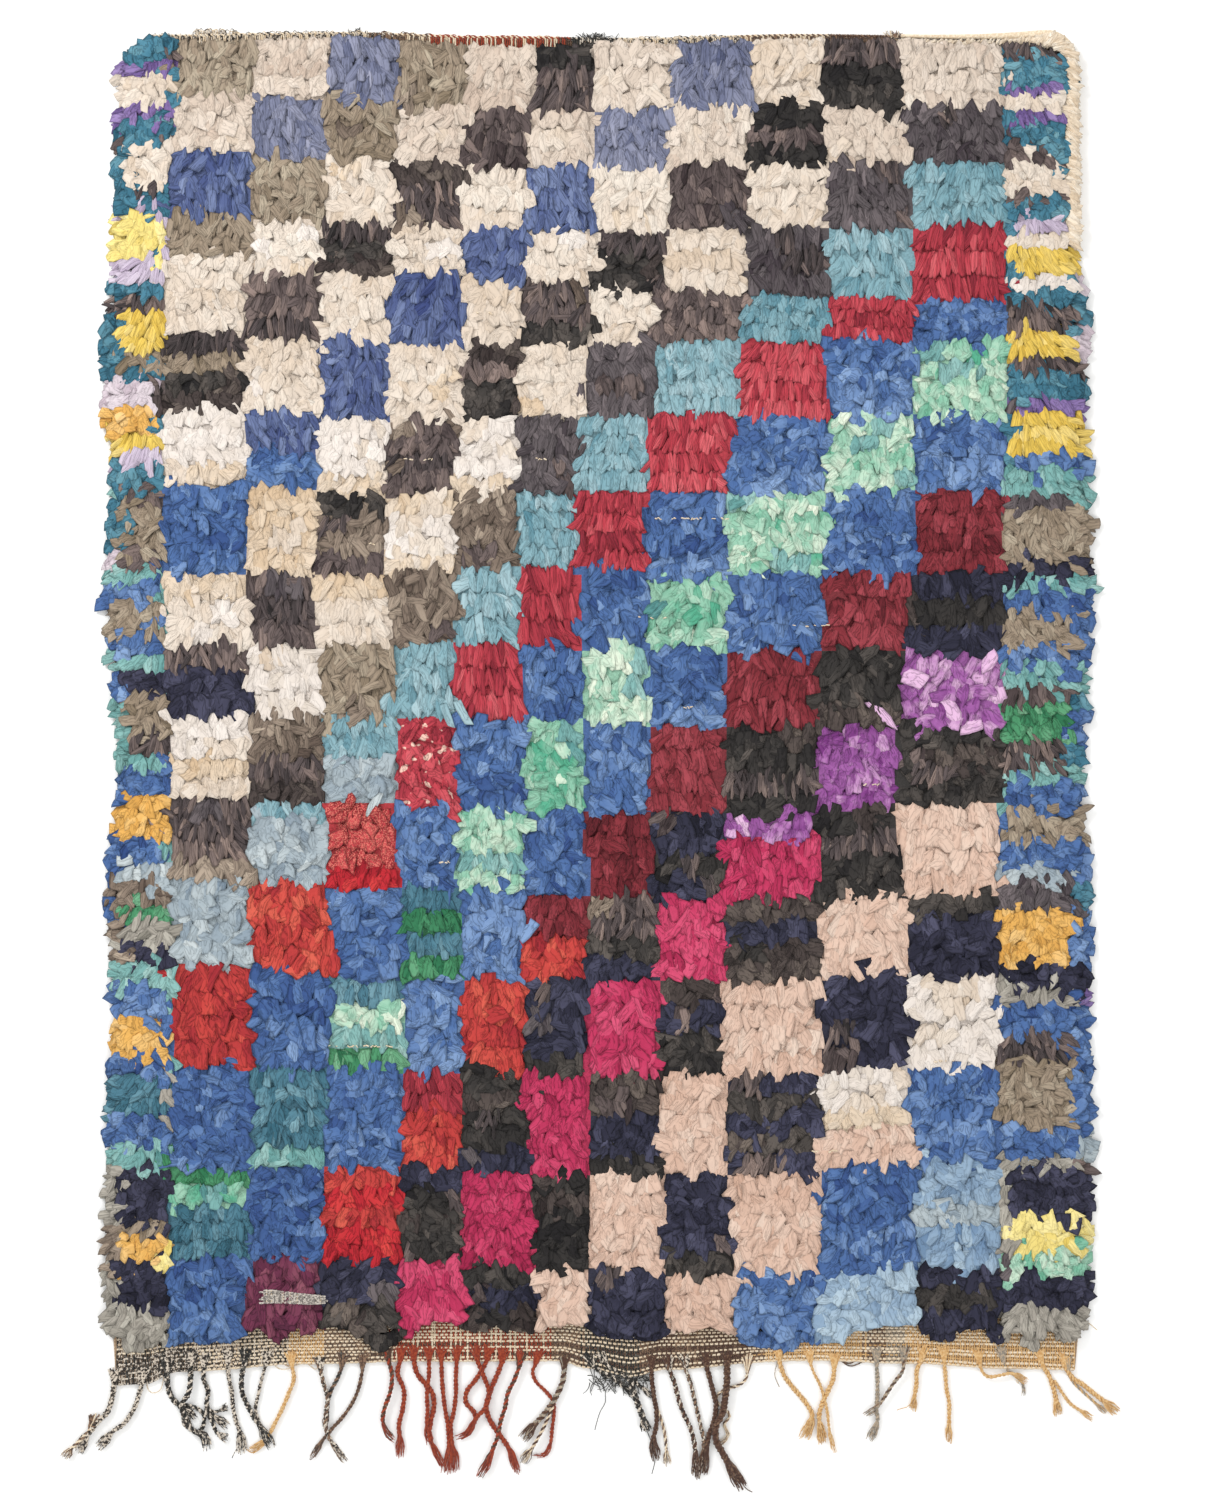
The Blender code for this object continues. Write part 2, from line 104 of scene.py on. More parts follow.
# The lines between checks, fitted to the photo. A column line is given across the rug at seven distances
# down it, and a row line along the rug at five places across it, with the courses of knots below it.
LINE_STATIONS_Y = (0.975, 0.79, 0.55, 0.27, -0.1, -0.5, -0.93)
ColumnLine = namedtuple("ColumnLine", "top second third middle fifth sixth bottom")
COLUMN_LINES = (
    ColumnLine(-0.659, -0.671, -0.680, -0.680, -0.670, -0.661, -0.672),
    ColumnLine(-0.536, -0.544, -0.554, -0.551, -0.544, -0.545, -0.547),
    ColumnLine(-0.421, -0.431, -0.435, -0.442, -0.428, -0.420, -0.436),
    ColumnLine(-0.312, -0.321, -0.332, -0.332, -0.319, -0.300, -0.312),
    ColumnLine(-0.206, -0.213, -0.213, -0.228, -0.225, -0.216, -0.213),
    ColumnLine(-0.102, -0.115, -0.124, -0.130, -0.112, -0.119, -0.099),
    ColumnLine(-0.009, -0.008, -0.016, -0.037, -0.021, -0.020, -0.020),
    ColumnLine(0.116, 0.108, 0.085, 0.071, 0.075, 0.095, 0.102),
    ColumnLine(0.239, 0.233, 0.217, 0.199, 0.191, 0.193, 0.211),
    ColumnLine(0.348, 0.357, 0.355, 0.351, 0.337, 0.342, 0.344),
    ColumnLine(0.468, 0.483, 0.493, 0.490, 0.462, 0.482, 0.495),
    ColumnLine(0.625, 0.630, 0.633, 0.630, 0.624, 0.618, 0.625),
)
LINE_STATIONS_X = (-0.6, -0.33, -0.07, 0.2, 0.53)
RowLine = namedtuple("RowLine", "far_left left middle right far_right courses")
ROW_LINES = (
    RowLine(1.026, 1.026, 1.026, 1.025, 1.022, 3),
    RowLine(0.944, 0.927, 0.922, 0.926, 0.923, 3),
    RowLine(0.854, 0.840, 0.830, 0.833, 0.841, 3),
    RowLine(0.755, 0.742, 0.732, 0.733, 0.740, 3),
    RowLine(0.670, 0.666, 0.653, 0.635, 0.623, 3),
    RowLine(0.573, 0.559, 0.552, 0.565, 0.558, 4),
    RowLine(0.453, 0.438, 0.440, 0.446, 0.443, 4),
    RowLine(0.333, 0.322, 0.323, 0.325, 0.331, 4),
    RowLine(0.199, 0.200, 0.210, 0.195, 0.202, 3),
    RowLine(0.087, 0.088, 0.085, 0.080, 0.077, 3),
    RowLine(-0.025, -0.027, -0.031, -0.043, -0.046, 4),
    RowLine(-0.151, -0.162, -0.173, -0.177, -0.161, 4),
    RowLine(-0.275, -0.291, -0.302, -0.311, -0.300, 4),
    RowLine(-0.414, -0.433, -0.433, -0.435, -0.427, 4),
    RowLine(-0.567, -0.575, -0.582, -0.581, -0.569, 5),
    RowLine(-0.729, -0.727, -0.735, -0.738, -0.719, 5),
    RowLine(-0.868, -0.872, -0.883, -0.893, -0.883, 3),
    RowLine(-0.986, -0.984, -0.982, -0.981, -0.980, 0),
)
CHECK_COLUMNS = len(COLUMN_LINES) - 1

# How rags are cut and tied. A rag's width, length and rise are its own, as shares of the place it takes;
# spacing is the distance to the next rag; yaw, roll and lift are how far it strays from lying flat and
# straight down the rug, in degrees; scatter is how far it lies off its course.
Tie = namedtuple("Tie", "kind width length rise spacing yaw roll lift scatter")
TIES = {
    "pleated": Tie("pleat", 0.0118, 0.0355, 0.0050, 0.0060, 10, 9, 4, 0.0030),
    "stranded": Tie("pleat", 0.0092, 0.0385, 0.0054, 0.0048, 17, 12, 5, 0.0048),
    "spiky": Tie("either", 0.0160, 0.0375, 0.0050, 0.0062, 23, 11, 6, 0.0060),
    "tangled": Tie("either", 0.0145, 0.0365, 0.0044, 0.0056, 36, 10, 7, 0.0080),
    "rumpled": Tie("flap", 0.0190, 0.0310, 0.0038, 0.0064, 28, 7, 5, 0.0062),
    "cut": Tie("flap", 0.0175, 0.0350, 0.0046, 0.0080, 16, 9, 4, 0.0040),
    "fanned": Tie("flap", 0.0148, 0.0345, 0.0046, 0.0070, 17, 9, 5, 0.0040),
    "petals": Tie("flap", 0.0205, 0.0370, 0.0042, 0.0068, 24, 8, 5, 0.0060),
    "crumpled": Tie("flap", 0.0200, 0.0320, 0.0050, 0.0062, 34, 11, 7, 0.0085),
    "tousled": Tie("flap", 0.0240, 0.0340, 0.0052, 0.0064, 38, 11, 7, 0.0090),
}

# Printed cloth: how fine its pattern is, how much of the cloth stays plain, and the print's colour.
Print = namedtuple("Print", "fineness plain colour")
SPOTS = Print(62.0, 0.645, (232, 190, 174))
FLECKS = Print(480.0, 0.52, (206, 110, 98))

# Dyes in sRGB: in folds, for the most part, and where faded. Patches says how unevenly a cloth has taken or
# kept its dye.
Dye = namedtuple("Dye", "deep main pale tie patches print", defaults=(0.3, None))
DYES = {
    "ecru": Dye((198, 179, 158), (211, 197, 182), (219, 209, 196), "rumpled"),
    "stone": Dye((189, 170, 154), (203, 188, 173), (215, 202, 189), "rumpled"),
    "white": Dye((202, 190, 176), (216, 206, 197), (226, 218, 210), "rumpled"),
    "warm_ecru": Dye((195, 169, 138), (208, 189, 166), (214, 201, 187), "rumpled"),
    "blush": Dye((193, 158, 138), (207, 177, 159), (217, 196, 180), "petals"),
    "periwinkle": Dye((84, 90, 118), (118, 122, 145), (150, 152, 172), "spiky"),
    "upper_blue": Dye((55, 67, 113), (85, 98, 138), (117, 130, 165), "spiky"),
    "blue": Dye((47, 71, 121), (74, 104, 153), (123, 150, 189), "tousled"),
    "taupe": Dye((119, 105, 86), (148, 132, 114), (174, 161, 141), "tangled"),
    "black": Dye((47, 43, 43), (87, 77, 77), (145, 126, 118), "stranded"),
    "soot": Dye((28, 26, 27), (53, 50, 48), (90, 83, 78), "tousled"),
    "umber": Dye((45, 37, 36), (74, 65, 62), (108, 97, 89), "crumpled"),
    "aubergine": Dye((56, 46, 47), (98, 86, 84), (137, 119, 112), "spiky"),
    "brown": Dye((84, 71, 63), (129, 114, 101), (169, 153, 136), "tangled"),
    "charcoal": Dye((61, 53, 58), (89, 82, 84), (117, 107, 109), "spiky"),
    "teal": Dye((85, 130, 144), (126, 162, 171), (164, 189, 195), "fanned"),
    "sea_green": Dye((44, 87, 103), (72, 115, 132), (117, 155, 166), "cut"),
    "sky": Dye((118, 134, 148), (156, 168, 174), (190, 198, 199), "tousled"),
    "crimson": Dye((131, 38, 51), (179, 60, 72), (207, 95, 102), "pleated"),
    "spotted": Dye((131, 38, 51), (179, 60, 72), (207, 95, 102), "crumpled", 0.3, SPOTS),
    "printed": Dye((142, 40, 46), (178, 58, 64), (202, 90, 88), "crumpled", 0.3, FLECKS),
    "scarlet": Dye((132, 20, 32), (180, 38, 48), (206, 66, 62), "petals"),
    "maroon": Dye((89, 27, 35), (123, 43, 51), (154, 65, 74), "cut"),
    "tomato": Dye((147, 38, 46), (186, 63, 58), (208, 96, 77), "petals"),
    "mint": Dye((80, 158, 128), (148, 190, 167), (214, 224, 204), "crumpled", 0.7),
    "green": Dye((42, 106, 72), (72, 138, 98), (120, 172, 136), "cut"),
    "navy": Dye((27, 27, 41), (47, 47, 64), (74, 74, 95), "tousled"),
    "orchid": Dye((112, 50, 116), (151, 89, 153), (214, 174, 206), "crumpled", 0.8),
    "pink": Dye((143, 29, 64), (182, 50, 88), (203, 78, 111), "petals"),
    "plum": Dye((74, 32, 52), (104, 46, 70), (136, 78, 94), "petals"),
    "yellow": Dye((196, 160, 58), (220, 188, 88), (230, 206, 130), "pleated"),
    "ochre": Dye((196, 142, 66), (216, 166, 88), (226, 188, 126), "crumpled"),
    "lemon": Dye((212, 186, 92), (228, 210, 132), (236, 224, 170), "petals"),
    "petrol": Dye((38, 82, 100), (64, 114, 134), (106, 150, 162), "tousled"),
    "sea": Dye((80, 134, 132), (120, 166, 162), (156, 190, 184), "cut"),
    "lilac": Dye((166, 148, 158), (194, 180, 188), (212, 202, 206), "rumpled"),
    "lavender": Dye((164, 146, 170), (190, 176, 194), (208, 196, 210), "pleated"),
    "violet": Dye((88, 68, 122), (120, 98, 150), (150, 130, 176), "fanned"),
    "light_blue": Dye((94, 122, 154), (140, 163, 184), (178, 196, 206), "tousled"),
    "grey": Dye((128, 124, 114), (158, 152, 142), (182, 178, 166), "tangled"),
    "wrap": Dye((200, 178, 150), (222, 205, 182), (236, 226, 210), "fanned"),
}

# The checks run in diagonals: a check's dye follows from its row plus its column. Each diagonal keeps its
# dye until a row, from which the next one holds.
DIAGONALS = {
    2: ((1, "taupe"),),
    3: ((1, "stone"),),
    4: ((1, "periwinkle"), (3, "upper_blue")),
    5: ((1, "taupe"),),
    6: ((1, "stone"), (3, "ecru")),
    7: ((1, "black"), (2, "aubergine"), (3, "black")),
    8: ((1, "stone"), (3, "ecru"), (7, "white")),
    9: ((1, "periwinkle"), (3, "upper_blue"), (7, "blue")),
    10: ((1, "ecru"), (2, "stone"), (3, "ecru"), (7, "white"), (8, "warm_ecru"), (9, "ecru")),
    11: ((1, "black"), (3, "aubergine"), (4, "black"), (7, "aubergine"), (10, "navy")),
    12: ((1, "stone"), (3, "ecru"), (8, "white"), (9, "ecru"), (10, "white"), (11, "ecru")),
    13: ((2, "charcoal"), (5, "aubergine"), (6, "charcoal"), (8, "brown"), (10, "taupe"), (11, "brown")),
    14: ((3, "teal"), (11, "sky")),
    15: ((4, "crimson"), (13, "tomato")),
    16: ((5, "blue"),),
    17: ((6, "mint"), (13, "green"), (14, "mint"), (15, "sea_green")),
    18: ((7, "blue"),),
    19: ((8, "maroon"), (13, "tomato"), (15, "crimson"), (17, "plum")),
    20: ((9, "navy"), (10, "dusk"), (12, "navy"), (15, "night"), (17, "navy")),
    21: ((10, "orchid"), (12, "pink")),
    22: ((11, "dusk"), (13, "night")),
    23: ((12, "blush"),),
    24: ((13, "navy"), (15, "night"), (16, "navy")),
    25: ((14, "white"), (15, "blush")),
    26: ((15, "blue"),),
    27: ((16, "light_blue"),),
    28: ((17, "navy"),),
}

# Checks where the weaver ran out of one rag: (row, column) and the dye of each course from the top.
CHANGES = {
    (2, 9): ("soot", "aubergine", "black"),
    (4, 1): ("taupe", "taupe", "ecru"),
    (5, 1): ("ecru", "ecru", "ecru"),
    (5, 2): ("aubergine", "aubergine", "black"),
    (6, 1): ("black", "taupe", "black", "black"),
    (6, 5): ("black", "aubergine", "black", "black"),
    (7, 1): ("white", "white", "white", "warm_ecru"),
    (7, 2): ("upper_blue", "upper_blue", "blue", "blue"),
    (7, 3): ("white", "white", "white", "warm_ecru"),
    (7, 4): ("brown", "aubergine", "black", "aubergine"),
    (7, 5): ("white", "white", "white", "warm_ecru"),
    (8, 3): ("black", "brown", "brown", "aubergine"),
    (8, 4): ("warm_ecru", "white", "white", "warm_ecru"),
    (9, 1): ("warm_ecru", "ecru", "ecru"),
    (9, 2): ("aubergine", "black", "aubergine"),
    (9, 3): ("warm_ecru", "ecru", "ecru"),
    (10, 1): ("aubergine", "navy", "navy"),
    (11, 1): ("white", "white", "warm_ecru", "ecru"),
    (11, 2): ("brown", "brown", "black", "black"),
    (11, 3): ("teal", "teal", "sky", "sky"),
    (11, 4): ("spotted", "spotted", "spotted", "spotted"),
    (12, 1): ("black", "black", "black", "brown"),
    (12, 2): ("teal", "sky", "sky", "sky"),
    (12, 3): ("printed", "printed", "printed", "scarlet"),
    (12, 5): ("mint", "mint", "sea", "mint"),
    (12, 9): ("orchid", "pink", "pink", "pink"),
    (13, 4): ("sea_green", "green", "sea_green", "green"),
    (13, 6): ("maroon", "maroon", "tomato", "tomato"),
    (13, 7): ("black", "black", "navy", "navy"),
    (14, 3): ("sea_green", "mint", "sea", "green"),
    (15, 2): ("sea_green", "sea_green", "sea_green", "sea_green", "sea"),
    (15, 4): ("crimson", "crimson", "tomato", "tomato", "tomato"),
    (15, 10): ("white", "white", "warm_ecru", "blush", "blush"),
    (16, 1): ("green", "mint", "sea_green", "sea_green", "sea_green"),
    (16, 3): ("tomato", "scarlet", "tomato", "scarlet", "scarlet"),
    (16, 11): ("light_blue", "light_blue", "sky", "light_blue", "light_blue"),
}

# Single rags that came loose and lie over their neighbours: where, how large and which way, in degrees.
LooseRag = namedtuple("LooseRag", "dye x y width length yaw tone")
LOOSE_RISE, LOOSE_CREASE = 0.0056, 0.0036
LOOSE_RAGS = (
    LooseRag("orchid", 0.440, -0.021, 0.016, 0.056, 42, 1.2),
    LooseRag("orchid", 0.489, 0.036, 0.026, 0.036, 66, 1.05),
    LooseRag("orchid", 0.606, 0.062, 0.022, 0.038, -36, 0.95),
    LooseRag("orchid", 0.548, -0.016, 0.026, 0.042, 28, 1.05),
    LooseRag("orchid", 0.578, -0.039, 0.020, 0.036, -70, 1.05),
    LooseRag("sky", -0.352, -0.160, 0.013, 0.040, -28, 0.9),
    LooseRag("teal", -0.214, -0.018, 0.013, 0.042, 30, 0.9),
    LooseRag("teal", -0.238, -0.022, 0.012, 0.038, 22, 0.7),
)

# The dark rags come from several lots, and each course takes one of them.
LOTS = {
    "black": ("black", "black", "soot", "umber"),
    "navy": ("navy", "navy", "navy", "soot"),
    "dusk": ("soot", "umber", "black", "soot"),
    "night": ("soot", "navy", "umber", "soot"),
}

# The side borders are stripes of many rags. Each has its depth along the rug, in metres, and sometimes
# another dye along its inner or its outer side.
Stripe = namedtuple("Stripe", "dye depth inner outer", defaults=(None, None))
LEFT_FROM, RIGHT_FROM = 1.037, 1.024
LEFT_STRIPES = (
    Stripe("petrol", 0.0350, "black"),
    Stripe("violet", 0.0300, "petrol"),
    Stripe("ecru", 0.0450, "petrol"),
    Stripe("violet", 0.0275),
    Stripe("petrol", 0.0225),
    Stripe("aubergine", 0.0150, "black"),
    Stripe("ecru", 0.0575, outer="petrol"),
    Stripe("black", 0.0125, outer="petrol"),
    Stripe("petrol", 0.0225),
    Stripe("lavender", 0.0175, "petrol"),
    Stripe("lemon", 0.0650, "lavender"),
    Stripe("lavender", 0.0350, "petrol"),
    Stripe("petrol", 0.0225),
    Stripe("black", 0.0200),
    Stripe("yellow", 0.0600, outer="petrol"),
    Stripe("taupe", 0.0275, outer="petrol"),
    Stripe("petrol", 0.0225),
    Stripe("lilac", 0.0425, "aubergine"),
    Stripe("ochre", 0.0350, "petrol"),
    Stripe("yellow", 0.0400, "lavender"),
    Stripe("lavender", 0.0200),
    Stripe("petrol", 0.0275),
    Stripe("aubergine", 0.0275, outer="sea"),
    Stripe("taupe", 0.0775, outer="petrol"),
    Stripe("aubergine", 0.0225, outer="lilac"),
    Stripe("sea", 0.0225),
    Stripe("blue", 0.0350, "sea"),
    Stripe("taupe", 0.0500, "sea"),
    Stripe("blue", 0.0250),
    Stripe("sea", 0.0225),
    Stripe("navy", 0.0425, outer="blue"),
    Stripe("sea", 0.0125),
    Stripe("taupe", 0.0475, outer="sea"),
    Stripe("black", 0.0300, outer="sea"),
    Stripe("sea", 0.0275),
    Stripe("blue", 0.0475),
    Stripe("ochre", 0.0525),
    Stripe("blue", 0.0425, "sea"),
    Stripe("sky", 0.0350, outer="blue"),
    Stripe("brown", 0.0250),
    Stripe("green", 0.0375, outer="blue"),
    Stripe("grey", 0.0275, outer="brown"),
    Stripe("navy", 0.0300, outer="brown"),
    Stripe("sea", 0.0375),
    Stripe("blue", 0.0425, "sea"),
    Stripe("ochre", 0.0725, "blue"),
    Stripe("blue", 0.0300, "sea"),
    Stripe("sea_green", 0.0625, "grey"),
    Stripe("blue", 0.0450),
    Stripe("sea", 0.0350, "green"),
    Stripe("navy", 0.0800, outer="grey"),
    Stripe("taupe", 0.0300, outer="brown"),
    Stripe("ochre", 0.0450, "lemon", "brown"),
    Stripe("navy", 0.0550, outer="grey"),
    Stripe("grey", 0.0700),
)
RIGHT_STRIPES = (
    Stripe("black", 0.0250, "petrol"),
    Stripe("petrol", 0.0300),
    Stripe("violet", 0.0275, "petrol"),
    Stripe("ecru", 0.0300, "petrol"),
    Stripe("violet", 0.0200),
    Stripe("petrol", 0.0275),
    Stripe("aubergine", 0.0200, outer="petrol"),
    Stripe("ecru", 0.0500, outer="petrol"),
    Stripe("aubergine", 0.0150),
    Stripe("petrol", 0.0225, outer="violet"),
    Stripe("lavender", 0.0275, "petrol"),
    Stripe("ecru", 0.0275, "lavender"),
    Stripe("yellow", 0.0375, "petrol"),
    Stripe("white", 0.0250, "petrol", "lilac"),
    Stripe("petrol", 0.0250),
    Stripe("black", 0.0300, outer="petrol"),
    Stripe("yellow", 0.0575, outer="lilac"),
    Stripe("black", 0.0175),
    Stripe("petrol", 0.0375),
    Stripe("violet", 0.0275, "charcoal"),
    Stripe("yellow", 0.0600, "petrol"),
    Stripe("blue", 0.0300, "petrol"),
    Stripe("sea", 0.0275),
    Stripe("charcoal", 0.0350, outer="sea"),
    Stripe("taupe", 0.0725),
    Stripe("navy", 0.0200),
    Stripe("sea", 0.0250),
    Stripe("blue", 0.0375),
    Stripe("taupe", 0.0600, outer="blue"),
    Stripe("blue", 0.0250),
    Stripe("sea", 0.0400),
    Stripe("aubergine", 0.0175, outer="petrol"),
    Stripe("green", 0.0650, outer="blue"),
    Stripe("black", 0.0300, outer="petrol"),
    Stripe("sea", 0.0275),
    Stripe("blue", 0.0375, "sea"),
    Stripe("taupe", 0.0575, "blue"),
    Stripe("blue", 0.0350),
    Stripe("sky", 0.0300, outer="blue"),
    Stripe("charcoal", 0.0425, outer="petrol"),
    Stripe("ochre", 0.0850, outer="blue"),
    Stripe("navy", 0.0275, "grey"),
    Stripe("grey", 0.0325, outer="violet"),
    Stripe("blue", 0.0500),
    Stripe("black", 0.0275, outer="blue"),
    Stripe("taupe", 0.1125, outer="blue"),
    Stripe("blue", 0.0450, outer="sky"),
    Stripe("grey", 0.0250, outer="aubergine"),
    Stripe("navy", 0.0700, "grey"),
    Stripe("lemon", 0.0475, "grey"),
    Stripe("mint", 0.0400, "charcoal"),
    Stripe("navy", 0.0525),
    Stripe("grey", 0.0625),
)
BORDER_PITCH = 0.0215
FRAME_WIDTH = 0.017

# How close the folds of a rag lie, across it and along it, with the third share telling rags apart.
FOLD_SCALES = {"pleat": (3.6, 0.7, 90.0), "either": (3.2, 1.1, 90.0), "flap": (3.0, 1.5, 90.0)}

# Rags that lie across the others, how far rags spill over their check's side (mean and spread), and the
# crease down the rug's middle, over which few rags reach.
STRAY_SHARE = 0.022
PLEAT_SPILL, FLAP_SPILL = (0.0028, 0.0036), (0.0036, 0.0052)
MOST_LIFT, MOST_ROLL = 10.0, 20.0
SIDE_FAN = 54.0
BORDER_FAN = 48.0
FOLD_AT = -0.014
FOLD_BOW = 0.007
FOLD_SHARE = 0.8

# Where a knot's dye ran short the weaver now and then tied in a few rags of a near shade.
ODD_SHARE = 0.34
NEAR_SHADES = {
    "soot": ("umber", "black"),
    "umber": ("soot", "aubergine"),
    "black": ("aubergine", "brown", "charcoal"),
    "aubergine": ("black", "brown", "charcoal"),
    "brown": ("taupe", "aubergine", "black"),
    "charcoal": ("aubergine", "black"),
    "taupe": ("brown", "taupe"),
    "navy": ("black", "charcoal", "aubergine"),
    "ecru": ("warm_ecru", "white", "ecru"),
    "stone": ("ecru",),
    "white": ("ecru",),
    "warm_ecru": ("ecru",),
    "mint": ("sea",),
}

# The pile's ragged lower edge, where the rags hang over the woven band: places along it.
HemPlace = namedtuple("HemPlace", "x y")
PILE_HEM = [HemPlace(*place) for place in (
    (-0.789, -0.970), (-0.775, -0.985), (-0.763, -1.007), (-0.753, -1.016), (-0.719, -1.016),
    (-0.703, -1.007), (-0.669, -1.007), (-0.653, -1.001), (-0.641, -0.995), (-0.617, -1.002),
    (-0.586, -1.002), (-0.569, -0.990), (-0.553, -0.977), (-0.534, -0.976), (-0.519, -0.988),
    (-0.505, -1.001), (-0.492, -0.985), (-0.472, -0.976), (-0.464, -0.977), (-0.458, -0.990),
    (-0.448, -0.979), (-0.422, -0.976), (-0.391, -0.979), (-0.366, -0.995), (-0.341, -1.016),
    (-0.325, -1.007), (-0.309, -0.996), (-0.295, -0.990), (-0.284, -0.968), (-0.250, -0.963),
    (-0.216, -0.966), (-0.209, -0.982), (-0.175, -0.984), (-0.166, -0.960), (-0.152, -0.955),
    (-0.144, -0.984), (-0.092, -0.984), (-0.084, -0.970), (-0.062, -0.971), (-0.022, -0.966),
    (-0.009, -0.988), (0.031, -0.995), (0.075, -0.998), (0.106, -0.990), (0.119, -0.979),
    (0.141, -0.982), (0.153, -0.968), (0.169, -0.970), (0.188, -0.980), (0.211, -0.988),
    (0.227, -1.005), (0.266, -1.009), (0.297, -1.016), (0.312, -0.999), (0.336, -1.002),
    (0.367, -1.001), (0.384, -0.991), (0.406, -0.976), (0.453, -0.970), (0.492, -0.970),
    (0.513, -0.982), (0.528, -0.998), (0.547, -0.999), (0.556, -0.977), (0.606, -0.976),
    (0.616, -1.001), (0.633, -1.001), (0.639, -0.980), (0.656, -0.977), (0.666, -1.013),
    (0.683, -1.013), (0.691, -0.979), (0.711, -0.984), (0.719, -1.001), (0.731, -0.998),
    (0.750, -0.976),
)]

# The pile's heights above the floor.
RIM_HEIGHT = 0.0125
CREST_HEIGHT = 0.0178
CHECK_DOME = 0.0032
BARE_HEIGHT = 0.0236
DARN_HEIGHT = 0.0221
PILE_INSET = 0.004
MAT_HEIGHT = 0.0160
MAT_LOW, MAT_HIGH = -0.962, 1.014

